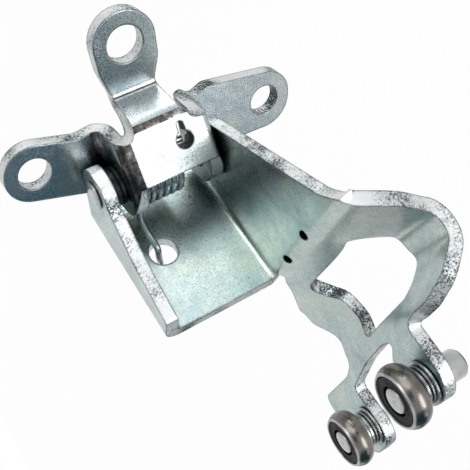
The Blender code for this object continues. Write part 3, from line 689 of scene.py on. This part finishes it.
def buildBracket():
    made = bracketHat()
    plan = meshObject("plan", prism(bracketOutline(), -50.0, 5.0, alongY), ["bracketEdge"])
    tools = [
        (boxEndTool(), "DIFFERENCE"),
        (bracketWeb(), "UNION"),
        (plan, "INTERSECT"),
        (lugTool(), "DIFFERENCE"),
        (slotTool(), "DIFFERENCE"),
    ]
    lie = Matrix.Rotation(pi / 2, 4, "X")
    for hole, radius in (("topHole", "topHoleR"), ("leftHole", "sideHoleR"), ("rightHole", "sideHoleR")):
        x, z = bracket[hole]
        ear = drill(bracket[radius], -past, sheet + past, (x, 0, z), lie, "bracketEdge")
        tools.append((ear, "DIFFERENCE"))
    low, high = rightWall - 5, leftWall + 5
    bore = drill(bracket["lugBore"], low, high, (*pivot, 0), Matrix(), "bracketEdge")
    tools += [(bore, "DIFFERENCE"), (keyholeTool(), "DIFFERENCE")]
    cutWith(made, tools)
    joinNear(made)
    markSheet(made)
    smoothByAngle(made, even=True)
    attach(made, "bracket")
    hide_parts("door_bracket")


buildBracket()
print("door bracket ready")


# Folded arm, pressed from one flat blank: L across, S along the section
arm = {
    "angle": 248.15,
    "foldR": 1.5,
    "leftCheek": 18.9,
    "rightCheek": -17.96,
    "floor": -19.75,
    "floorEnd": 44.6,
    "cheekR": 8.35,
    "cheekBack": -4.2,
    "rollTilt": 13.0,
    "earStep": 13.0,
    "archTop": 28.5,
    "archLow": 15.5,
    "blendStart": -8.0,
    "blendEnd": 26.0,
    "liftFade": 14.0,
    "pressStep": 1.1,
    "floorHole": (18.5, 9.0),
    "floorHoleR": 4.8,
    "spots": ((49.4, 15.9), (46.4, -4.4)),
    "spotR": 1.55,
    "spotStretch": 1.4,
    "pinBore": 4.2,
    "largeRoller": (99.9, -3.2),
    "largeHoleR": 4.97,
    "smallRoller": (95.8, -58.3),
    "smallHoleR": 3.7,
}
armTurn = radians(arm["angle"])
armAlong = Vector((cos(armTurn), sin(armTurn)))
armUp = Vector((-sin(armTurn), cos(armTurn)))
foldR = arm["foldR"]
rollTilt = radians(arm["rollTilt"])
bendStart = arm["floor"] + foldR
bendRun = foldR * pi / 2
floorStart = bendStart - bendRun
floorEnd = floorStart - (arm["leftCheek"] - arm["rightCheek"] - 2 * foldR)
cheekStart = floorEnd - bendRun
leftPinS = cheekStart + bendStart
slitL = arm["floorEnd"] + 0.8
earFace = arm["rightCheek"] - arm["earStep"]
earBack = earFace - sheet


def leftS(n):
    return cheekStart + bendStart - n


def blankOutline():
    end = arm["floorEnd"]
    back = arm["cheekBack"]
    walk = arc(0, 0, arm["cheekR"], 196, 119, 16)
    walk += [
        (49.5, 38.4, 16.0), (58.0, 46.9, 4.0),
        (64.4, 42.4, 8.0), (67.4, 33.6, 5.0),
        (82.2, 28.8, 5.0), (84.6, 21.0, 8.0),
        (83.8, 7.9, 4.5), (107.2, 7.2, 9.8),
        (107.2, -12.9, 9.8), (88.4, -12.9, 1.5),
        (84.6, -5.2, 1.2), (82.6, -12.5, 4.0),
        (81.6, -30.0, 12.0), (83.0, -51.6, 3.0),
        (104.6, -51.2, 8.0), (104.6, -71.0, 10.0),
        (83.5, -80.6, 6.0), (75.8, -79.8, 4.0),
        (78.6, -50.0, 16.0), (75.4, -34.6, 6.0),
        (67.0, -41.8, 8.0), (54.2, -54.2, 4.0),
        (50.0, -50.0, 3.0), (48.0, -31.0, 12.0),
        (46.6, -23.0, 3.0), (46.4, bendStart, 0.6),
        (end, bendStart, 0.6), (end, leftS(-11.2), 2.0),
        (24.0, leftS(-6.2), 20.0), (10.8, leftS(0.9), 5.0),
    ]
    walk += arc(0, leftPinS, arm["cheekR"], -22, -196, 30)
    walk += [
        (back - 0.6, leftS(-16.0), 4.0), (back, floorEnd, 0.0),
        (back, floorStart, 0.0), (back - 0.6, -16.0, 4.0),
    ]
    return rounded(walk)


def windowOutline():
    return rounded([
        (52.6, -21.0, 6.0), (57.2, 22.6, 3.0),
        (63.6, 8.4, 5.0), (74.6, 11.8, 5.0),
        (77.6, 5.4, 4.0), (77.2, -19.8, 3.5),
        (62.0, -19.9, 5.0), (54.4, -28.4, 3.0),
    ])


# Two sections across the soft bend, as depth below the right cheek
def bendSection(risen, short, turned, depth, radius):
    return rounded([
        (-60.0, 0.0, 0.0),
        (47.0, 0.0, radius),
        (risen, depth - short, radius),
        (turned, depth, radius),
        (80.5, arm["earStep"], radius),
        (170.0, arm["earStep"], 0.0),
    ], closed=False)


overArch = bendSection(58.5, 0.5, 66.0, arm["archTop"], 5.5)
alongFoot = bendSection(62.0, 1.0, 73.0, arm["archLow"], 8.0)


def pathDepth(path, m):
    for (a, low), (b, high) in zip(path, path[1:]):
        if m <= b:
            return low + (high - low) * (m - a) / (b - a)
    return path[-1][1]


def plateDepth(l, n):
    m = l * cos(rollTilt) - n * sin(rollTilt)
    d = l * sin(rollTilt) + n * cos(rollTilt)
    share = min(1.0, max(0.0, (d - arm["blendStart"]) / (arm["blendEnd"] - arm["blendStart"])))
    share = share * share * (3 - 2 * share)
    return (1 - share) * pathDepth(alongFoot, m) + share * pathDepth(overArch, m)


def pressed(l, s):  # where a point of the flat blank lies on the finished arm
    right = arm["rightCheek"]
    if s >= bendStart or l > slitL:
        return (l, s, right - plateDepth(l, s))
    lift = plateDepth(l, bendStart) * max(0.0, 1 - (bendStart - s) / arm["liftFade"])
    inner = right + foldR
    if s >= floorStart:
        turn = (bendStart - s) / foldR
        return (l, bendStart - foldR * sin(turn), inner - foldR * cos(turn) - lift)
    if s >= floorEnd:
        return (l, arm["floor"], inner + (floorStart - s) - lift)
    if s >= cheekStart:
        turn = (floorEnd - s) / foldR
        return (l, bendStart - foldR * cos(turn), arm["leftCheek"] - foldR + foldR * sin(turn))
    return (l, bendStart + (cheekStart - s), arm["leftCheek"])


def scoreLines(bm, along, values, inside=None):
    for value in values:
        geom = bm.verts[:] + bm.edges[:] + bm.faces[:]
        if inside:
            faces = [f for f in bm.faces if inside(f.calc_center_median())]
            verts = {v for f in faces for v in f.verts}
            edges = {e for f in faces for e in f.edges}
            geom = list(verts) + list(edges) + faces
        spot = Vector((along[0] * value, along[1] * value, 0))
        bmesh.ops.bisect_plane(bm, geom=geom, plane_co=spot, plane_no=(along[0], along[1], 0), dist=0.02)


def armBlank():
    bm = bmesh.new()
    for outline in (blankOutline(), windowOutline()):
        verts = [bm.verts.new((u, v, 0)) for u, v in outline]
        for a, b in zip(verts, verts[1:] + verts[:1]):
            bm.edges.new((a, b))
    bmesh.ops.triangle_fill(bm, use_beauty=True, edges=bm.edges, normal=(0, 0, 1))
    bmesh.ops.dissolve_limit(bm, angle_limit=radians(1), verts=bm.verts, edges=bm.edges)
    across = (cos(rollTilt), -sin(rollTilt))
    stations = [p.x for p in overArch + alongFoot if -50 < p.x < 160]
    first, last = min(stations), max(stations)
    step = arm["pressStep"]
    steady = [first + step * i for i in range(int((last - first) / step) + 2)]
    scoreLines(bm, across, steady)
    down = (sin(rollTilt), cos(rollTilt))
    span = arm["blendEnd"] - arm["blendStart"]
    blends = [arm["blendStart"] + span * i / 20 for i in range(-20, 30)]

    def inPress(centre):
        return first - 1.0 < centre.x * across[0] + centre.y * across[1] < last + 1.5

    scoreLines(bm, down, blends, inPress)
    folds = [bendStart - bendRun * i / 8 for i in range(9)] + [floorEnd - bendRun * i / 8 for i in range(9)]
    folds += [bendStart - arm["liftFade"] * i / 7 for i in range(2, 8)]

    def inFold(centre):
        return centre.x < slitL and centre.y < 5

    scoreLines(bm, (0, 1), folds, inFold)
    bmesh.ops.remove_doubles(bm, verts=bm.verts, dist=0.12)
    bmesh.ops.triangulate(bm, faces=bm.faces, quad_method="BEAUTY", ngon_method="BEAUTY")
    bm.normal_update()
    bmesh.ops.reverse_faces(bm, faces=[f for f in bm.faces if f.normal.z < 0])
    return bm


def pressNormal(l, s):  # out of the inner face, from two short steps across the blank
    step = 0.02
    besideSlit = s < bendStart
    lowL = l if besideSlit and l > slitL else l - step
    highL = l if besideSlit and l <= slitL else l + step
    alongL = Vector(pressed(highL, s)) - Vector(pressed(lowL, s))
    alongS = Vector(pressed(l, s + step)) - Vector(pressed(l, s - step))
    return alongL.cross(alongS).normalized()


def armSolid():  # both faces of the sheet and the sheared rim between them
    flat = armBlank()
    flat.verts.index_update()
    spots = [(v.co.x, v.co.y) for v in flat.verts]
    faces = [[v.index for v in f.verts] for f in flat.faces]
    loops = [e.link_loops[0] for e in flat.edges if len(e.link_faces) == 1]
    rim = [(loop.vert.index, loop.link_loop_next.vert.index) for loop in loops]
    flat.free()
    bm = bmesh.new()
    inside = []
    outside = []
    for l, s in spots:
        face = Vector(pressed(l, s))
        inside.append(bm.verts.new(face))
        outside.append(bm.verts.new(face - pressNormal(l, s) * sheet))
    for face in faces:
        bm.faces.new([inside[i] for i in face])
        bm.faces.new([outside[i] for i in reversed(face)])
    for a, b in rim:
        side = bm.faces.new([inside[b], inside[a], outside[a], outside[b]])
        side.material_index = 1
    return bm


def placeOnArm(target):
    target.location = (pivot.x * mm, pivot.y * mm, 0)
    target.rotation_euler = (0, 0, armTurn)
    return target


def buildArm():
    made = placeOnArm(meshObject("armSheet", armSolid(), ["armSheet", "armEdge"], shell=True))
    top = arm["leftCheek"] + sheet
    bottom = arm["rightCheek"] - sheet
    sink = Matrix.Rotation(pi / 2, 4, "X")
    l, h = arm["floorHole"]
    low, high = earBack - past, earFace + past
    drills = [
        drill(arm["pinBore"], bottom - past, top + past, (0, 0, 0), Matrix(), "armEdge"),
        drill(arm["floorHoleR"], -past, sheet + past, (l, arm["floor"], h), sink, "armEdge"),
        drill(arm["largeHoleR"], low, high, (*arm["largeRoller"], 0), Matrix(), "armEdge"),
        drill(arm["smallHoleR"], low, high, (*arm["smallRoller"], 0), Matrix(), "armEdge"),
    ]
    for spot in arm["spots"]:
        out = pressNormal(*spot)
        rise = (Vector((0, 1, 0)) - out * out.y).normalized()
        lean = Matrix((rise.cross(out), rise * arm["spotStretch"], out)).transposed().to_4x4()
        drills.append(drill(arm["spotR"], -past, 2.0, pressed(*spot), lean, "shadedBore", 40))
    cutWith(made, [(placeOnArm(tool), "DIFFERENCE") for tool in drills])
    joinNear(made)
    smoothByAngle(made, 30.0)
    made.data.transform(made.matrix_basis)
    made.matrix_basis = Matrix()
    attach(made, "arm")
    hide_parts("hinge_arm")


buildArm()
print("arm ready")


# Turned pieces
def turned(name, profile, steps, look, place, turn=0.0):
    bm = bmesh.new()
    verts = [bm.verts.new((radius, 0, height)) for radius, height in profile]
    ring = verts[1:] + ([verts[0]] if profile[0][0] > 0 else [])
    for a, b in zip(verts, ring):
        bm.edges.new((a, b))
    made = meshObject(name, bm, [look], shell=True)
    spin = made.modifiers.new("Spin", "SCREW")
    spin.axis = "Z"
    spin.steps = steps
    spin.render_steps = steps
    spin.use_merge_vertices = True
    spin.merge_threshold = 0.00001
    settle(made)
    for polygon in made.data.polygons:
        polygon.material_index = 0
    smoothByAngle(made, 28.0)
    made.location = (place[0] * mm, place[1] * mm, 0)
    made.rotation_euler = (0, 0, turn)
    return made


def markFaces(target, look, chosen):
    target.data.materials.append(looks[look])
    for polygon in target.data.polygons:
        if chosen(polygon):
            polygon.material_index = len(target.data.materials) - 1


hingePin = {
    "radius": 3.9,
    "headR": 4.7,
    "head": 0.9,
    "endR": 5.6,
    "end": 2.0,
    "seat": 0.3,
}


def buildPin():
    top = arm["leftCheek"] + sheet + hingePin["seat"]
    bottom = arm["rightCheek"] - sheet - hingePin["seat"]
    head, headR = hingePin["head"], hingePin["headR"]
    end, endR = hingePin["end"], hingePin["endR"]
    profile = [(0, top + head * 0.86), (headR * 0.45, top + head), (headR * 0.72, top + head * 0.95)]
    profile += [(headR * 0.9, top + head * 0.66), (headR, top + head * 0.2), (headR, top)]
    profile += [(hingePin["radius"], top), (hingePin["radius"], bottom), (endR, bottom)]
    profile += [(endR, bottom - end * 0.5), (endR * 0.93, bottom - end * 0.78), (endR * 0.7, bottom - end)]
    profile += [(0, bottom - end)]
    made = turned("hingePin", profile, 72, "turnedZinc", pivot, armTurn)

    def onShank(polygon):
        return bottom * mm < polygon.center.z < top * mm and hypot(*polygon.normal[:2]) > 0.5

    # painted shade: the shank between the lugs is near-black where the keyhole shows it
    markFaces(made, "darkSteelPaintedShade", onShank)
    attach(made, "arm")
    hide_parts("hinge_pin")


buildPin()


# Torsion spring: one leg in the floor hole, five turns, one leg in the keyhole
spring = {
    "wire": 1.1,
    "coilR": 8.3,
    "lift": 2.8,
    "drop": 1.3,
    "pitch": 2.55,
    "turns": 5,
    "legAside": 1.6,
    "kneeAside": -2.6,
    "kneeHigh": 3.2,
    "footLeg": ((2.4, -9.0), (1.0, -4.4), (-0.2, -1.4), (-0.9, 1.2)),
    "movesWithArm": (14.0, 6.0),
    "staysBehind": (4.0, -4.0),
    "level": 9.0,
}


def smoothLine(corners, steps=6):  # a soft bend through every corner
    spots = [Vector(c) for c in corners]
    ends = [spots[0] * 2 - spots[1]] + spots + [spots[-1] * 2 - spots[-2]]
    points = []
    for a, b, c, d in zip(ends, ends[1:], ends[2:], ends[3:]):
        for i in range(steps):
            t = i / steps
            spot = 0.5 * ((2 * b) + (c - a) * t + (2 * a - 5 * b + 4 * c - d) * t * t
                          + (3 * b - a - 3 * c + d) * t * t * t)
            points.append(tuple(spot))
    points.append(tuple(spots[-1]))
    return points


def springPoints():
    centre = pivot - faceOut * spring["lift"] - faceDir * spring["drop"]
    coilR = spring["coilR"]
    startH = leftWall - sheet - 0.3 - spring["wire"]
    holeL, holeH = arm["floorHole"]
    knee = pivot + armAlong * (holeL + spring["kneeAside"]) + armUp * (arm["floor"] + spring["kneeHigh"])
    toCoil = centre - knee
    lean = atan2(toCoil.y, toCoil.x) - atan2(coilR, (toCoil.length ** 2 - coilR ** 2) ** 0.5)
    first = lean - pi / 2
    last = atan2(faceOut.y, faceOut.x)
    while last < first:
        last += 2 * pi
    last += 2 * pi * spring["turns"]
    legH = holeH + spring["legAside"]
    corners = []
    for l, n in spring["footLeg"]:
        spot = pivot + armAlong * (holeL + l) + armUp * (arm["floor"] + n)
        corners.append((spot.x, spot.y, legH))
    corners.append((knee.x, knee.y, legH + 0.3))
    landing = centre + Vector((cos(first), sin(first))) * coilR
    for share, height in ((0.35, legH + 2.2), (0.6, legH + 2.6), (0.78, legH + 0.6), (0.9, startH + 0.2)):
        spot = knee.lerp(landing, share)
        corners.append((spot.x, spot.y, height))
    points = smoothLine(corners)
    steps = round((last - first) / (2 * pi) * 40)
    for i in range(steps + 1):
        angle = first + (last - first) * i / steps
        height = startH - spring["pitch"] * (angle - first) / (2 * pi)
        points.append((centre.x + coilR * cos(angle), centre.y + coilR * sin(angle), height))
    endH = points[-1][2]
    out = Vector(points[-1][:2]) - pivot
    depth, base = out.dot(faceOut), out.dot(faceDir)
    reach = bracket["keyUp"] - base
    corners = [points[-1]]
    for share, lift, height in (
        (0.30, 0.0, endH), (0.68, 0.0, bracket["keyZ"] + 4.0), (0.88, 0.1, bracket["keyZ"] + 3.4),
        (0.95, 0.3, bracket["keyZ"] + 1.6), (0.95, 0.4, bracket["keyZ"] - 0.8),
    ):
        spot = pivot + faceDir * (base + reach * share) + faceOut * (depth + lift)
        corners.append((spot.x, spot.y, height))
    return points + smoothLine(corners)[1:]


def buildSpring():
    data = bpy.data.curves.new("torsionSpring", "CURVE")
    data.dimensions = "3D"
    data.bevel_depth = spring["wire"] * mm
    data.bevel_resolution = 5
    data.use_fill_caps = True
    points = springPoints()
    line = data.splines.new("POLY")
    line.points.add(len(points) - 1)
    for spot, point in zip(line.points, points):
        spot.co = (point[0] * mm, point[1] * mm, point[2] * mm, 1)
    line.use_smooth = True
    data.materials.append(looks["springWire"])
    curve = addObject("springCurve", data)
    mesh = shownMesh(curve)
    bpy.data.objects.remove(curve, do_unlink=True)
    made = addObject("torsionSpring", mesh)
    mesh.shade_smooth()
    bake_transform(made)
    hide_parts("torsion_spring")


buildSpring()
print("pin and spring ready")


# Rollers: crowned ball bearings on peened studs
roller = {
    "faces": {"large": -19.2, "small": -18.6},
    "width": 6.9,
    "seatedBack": -28.3,
    "crownR": 10.1,
    "rimR": 8.65,
    "ringInnerR": 7.7,
    "sealOutR": 8.1,
    "sealInR": 4.6,
    "sealT": 0.7,
    "sealSink": 0.15,
    "studR": 3.0,
    "headR": 4.1,
    "head": 0.8,
    "collarR": 4.9,
    "flangeR": 7.2,
    "flangeT": 0.9,
    "rivetR": 3.4,
    "rivetHeadR": 5.0,
    "rivetHead": 1.3,
    "guideR": 4.67,
    "guideEnd": -44.0,
    "spacerR": 6.2,
    "lip": 0.16,
    "seat": 0.3,
}


def crownProfile(top, bottom):
    half = (top - bottom) / 2
    drop = roller["crownR"] - roller["rimR"]
    radius = (half * half + drop * drop) / (2 * drop)
    points = []
    for i in range(25):
        height = half * cos(pi * i / 24)
        reach = roller["crownR"] - radius + (radius * radius - height * height) ** 0.5
        points.append((reach, (top + bottom) / 2 + height))
    return points


def studProfile(face, guide):
    back, studR, collarR = roller["seatedBack"], roller["studR"], roller["collarR"]
    headR, head, flangeR = roller["headR"], roller["head"], roller["flangeR"]
    low = earFace + roller["seat"]
    top = low + roller["flangeT"]
    points = [(0, face - 0.5), (0.35, face - 0.42), (0.7, face - 0.12), (1.0, face - 0.05)]
    points += [(headR * 0.5, face), (headR * 0.8, face - 0.06), (headR * 0.93, face - 0.2)]
    points += [(headR, face - head * 0.6), (headR, face - head), (studR, face - head), (studR, back)]
    points += [(collarR - 0.2, back), (collarR, back - 0.2), (collarR, back - 0.45)]
    points += [(6.3, back - 0.45), (6.5, back - 0.6), (6.5, back - 0.9)]
    points += [(6.3, back - 1.05), (5.4, back - 1.05), (5.4, top), (flangeR - 0.4, top)]
    points += [(flangeR - 0.1, top - 0.1), (flangeR, top - 0.3), (flangeR, low + 0.15), (flangeR - 0.15, low)]
    if guide:
        r, end = roller["guideR"], roller["guideEnd"]
        points += [(r, low), (r, end + 1.3), (r - 0.15, end + 0.95), (r - 0.9, end + 0.15)]
        points += [(r - 1.2, end), (0, end)]
    else:
        under = earBack - roller["seat"]
        r, h = roller["rivetHeadR"], roller["rivetHead"]
        points += [(roller["rivetR"], low), (roller["rivetR"], under), (r, under), (r, under - h * 0.4)]
        points += [(r * 0.93, under - h * 0.75), (r * 0.72, under - h), (0, under - h)]
    return points


def spacerProfile(bottom):  # washers between the bearing and the stud's collar
    inner = roller["sealInR"] + 0.25
    high = bottom - 0.25
    low = roller["seatedBack"] - 0.05
    half = (high + low) / 2
    rim = roller["spacerR"]
    groove = rim - 0.9
    return [(inner, high), (rim - 0.2, high), (rim, high - 0.12), (rim, half + 0.1), (rim - 0.2, half),
            (groove, half - 0.05), (groove, half - 0.2), (rim - 0.4, half - 0.25), (rim - 0.2, half - 0.4),
            (rim - 0.2, low), (inner, low)]


def buildSeals(label, place, top, bottom):
    seal = roller["sealT"]
    inside = roller["sealInR"] + roller["seat"]
    outside = roller["sealOutR"] - roller["seat"]
    for side, high in (("Front", top - roller["sealSink"]), ("Back", bottom + roller["sealSink"] + seal)):
        front = side == "Front"
        out, face = (high, high - seal) if front else (high - seal, high)
        sink = out - (roller["lip"] if front else -roller["lip"])
        profile = [(inside, sink), (inside + 0.25, out), (inside + 0.75, out), (inside + 0.95, sink)]
        profile += [(outside - 0.7, sink), (outside - 0.5, out), (outside - 0.1, out)]
        profile += [(outside, out + (sink - out) * 0.6), (outside, face), (inside, face)]
        made = turned(f"{label}{side}Seal", profile if front else profile[::-1], 96, "sealRubber", place)
        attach(made, f"{label}_roller")
        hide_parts(f"{label}_{side.lower()}_seal")


def buildRoller(label, spot, guide):
    place = pivot + Matrix.Rotation(armTurn, 2) @ Vector(spot)
    top = roller["faces"][label]
    bottom = top - roller["width"]
    step = roller["sealSink"] + roller["sealT"] + roller["seat"]
    seal, inner = roller["sealOutR"], roller["ringInnerR"]
    ring = crownProfile(top, bottom)
    ring += [(seal + 0.14, bottom), (seal, bottom + 0.14), (seal, bottom + step), (inner, bottom + step)]
    ring += [(inner, top - step), (seal, top - step), (seal, top - 0.14), (seal + 0.14, top)]
    made = turned(f"{label}RollerRing", ring, 128, "ballRaceSteel", place)

    def onEndFace(polygon):
        return abs(polygon.normal.z) > 0.6 and hypot(*polygon.center[:2]) > seal * mm

    # painted highlight: the ring's end faces take the lighter turnedZinc look for the bright line round the
    # seal
    markFaces(made, "turnedZinc", onEndFace)
    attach(made, f"{label}_roller")
    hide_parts(f"{label}_outer_ring")
    buildSeals(label, place, top, bottom)
    made = turned(f"{label}SpacerRings", spacerProfile(bottom), 96, "turnedZinc", place)
    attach(made, "arm")
    made = turned(f"{label}Stud", studProfile(top, guide), 96, "turnedZinc", place)

    def onHeads(polygon):
        return polygon.center.z / mm > top - roller["head"] or polygon.center.z / mm < earBack

    def onChamfer(polygon):
        return guide and 0.2 < polygon.center.z / mm - roller["guideEnd"] < 1.0

    markFaces(made, "guideSteel", onHeads)
    # painted shade: a dark line on the guide's end chamfer
    markFaces(made, "darkSteelPaintedShade", onChamfer)
    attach(made, "arm")
    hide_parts(f"{label}_stud")


for label, guide in (("large", True), ("small", False)):
    buildRoller(label, arm[f"{label}Roller"], guide)
print("rollers ready")


# Nodes that stay as they are get their finish
carried = {
    "pin_washer": "shadedBronze",
    "upper_bush": "shadedBronze",
    "lower_bush": "shadedBronze",
    "inner_ring": "darkSteelPaintedShade",
    "ball_": "ballRaceSteel",
    "cage": "pressedSteel",
}


def finishNodes():
    for name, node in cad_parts.items():
        for part, look in carried.items():
            if part in name and not node.hide_render:
                node.data.materials.clear()
                node.data.materials.append(looks[look])
                if part == "ball_":
                    node.data.polygons.foreach_set("use_smooth", [True] * len(node.data.polygons))


finishNodes()


# Studio: white surroundings, a pale floor far below, soft lamps and grey cards for the metal to reflect.
# A lamp has its place, size and power, a card its place, size and shade
studio = {
    "floorZ": -0.34,
    "floorSize": 60.0,
    "floorWhite": (0.90, 0.90, 0.90),
    "floorGlow": 0.97,
    "fill": 0.50,
    "fillTint": (0.94, 0.97, 1.0),
    "lampAim": (-0.03, -0.04, 0.0),
    "cardAim": (-0.05, -0.05, 0.0),
    "lamps": {
        "boxLamp": ((0.09, -0.62, -0.33), 0.52, 3.9),
        "topLamp": ((0.45, 0.05, 0.75), 0.50, 1.2),
        "farLamp": ((0.95, 0.02, 0.15), 0.95, 4.3),
        "earLamp": ((-0.33, -0.50, -0.21), 0.09, 0.09),
        "webLamp": ((0.62, 0.25, -0.13), 0.26, 1.30),
    },
    "cards": {
        "darkCardFront": ((0.62, -0.66, 0.52), (0.50, 0.50), (0.02, 0.03, 0.03)),
        "darkCardSide": ((-0.50, -0.60, -0.10), (0.80, 0.95), (0.04, 0.13, 0.19)),
        "darkCardLow": ((-0.90, -0.12, -0.36), (0.40, 0.40), (0.30, 0.30, 0.29)),
        "darkCardHigh": ((-0.17, -0.38, 0.72), (0.45, 0.35), (0.02, 0.03, 0.04)),
    },
}


def showBackground(tree):  # one where the surroundings are seen straight, mirrored or through
    path = addNode(tree, "LightPath").outputs
    seen = addMath(tree, "MAXIMUM", path["Is Camera Ray"], path["Is Glossy Ray"])
    return addMath(tree, "MAXIMUM", seen, path["Is Transmission Ray"])


def mixShaders(tree, share, first, second, ending):
    mix = addNode(tree, "MixShader")
    for socket, source in zip(mix.inputs, (share, first.outputs[0], second.outputs[0])):
        tree.links.new(source, socket)
    out = addNode(tree, ending)
    tree.links.new(mix.outputs[0], out.inputs["Surface"])


def addWorld():
    world = bpy.data.worlds.new("studio")
    bpy.context.scene.world = world
    world.use_nodes = True
    tree = world.node_tree
    tree.nodes.clear()
    tint = (*studio["fillTint"], 1)
    fill = addNode(tree, "Background", {"Color": tint, "Strength": studio["fill"]})
    white = addNode(tree, "Background", {"Color": (1, 1, 1, 1), "Strength": 1.0})
    mixShaders(tree, showBackground(tree), fill, white, "OutputWorld")


def flatSheet(name, width, depth, cells, look):
    bm = bmesh.new()
    bmesh.ops.create_grid(bm, x_segments=cells, y_segments=cells, size=0.5)
    bmesh.ops.scale(bm, vec=(width, depth, 1.0), verts=bm.verts)
    return meshFrom(name, bm, [look])


def addFloor():
    look, tree, _ = newMaterial("paleFloor")
    tree.nodes.clear()
    matt = addNode(tree, "BsdfDiffuse", {"Color": (*studio["floorWhite"], 1)})
    glow = addNode(tree, "Emission", {"Color": (1, 1, 1, 1), "Strength": 1.0})
    share = addMath(tree, "MULTIPLY", showBackground(tree), studio["floorGlow"])
    mixShaders(tree, share, matt, glow, "OutputMaterial")
    made = flatSheet("floor", studio["floorSize"], studio["floorSize"], 4, look)
    made.location = (0, 0, studio["floorZ"])


def standAt(target, spot, aim):
    target.location = spot
    target.rotation_euler = (Vector(spot) - Vector(aim)).to_track_quat("Z", "Y").to_euler()


def addLamps():
    for name, (place, size, power) in studio["lamps"].items():
        data = bpy.data.lights.new(name, "AREA")
        data.shape = "DISK"
        data.size = size
        data.energy = power
        standAt(addObject(name, data), place, studio["lampAim"])


def addCards():
    for name, (place, size, shade) in studio["cards"].items():
        look, _, shader = newMaterial(name)
        shader.inputs["Base Color"].default_value = (*shade, 1.0)
        shader.inputs["Roughness"].default_value = 0.9
        made = flatSheet(name, *size, 2, look)
        standAt(made, place, studio["cardAim"])
        made.visible_camera = False
        made.visible_shadow = False
        made.visible_diffuse = False


addWorld()
addFloor()
addLamps()
addCards()
bpy.context.scene.view_settings.view_transform = "Standard"
print("studio ready")
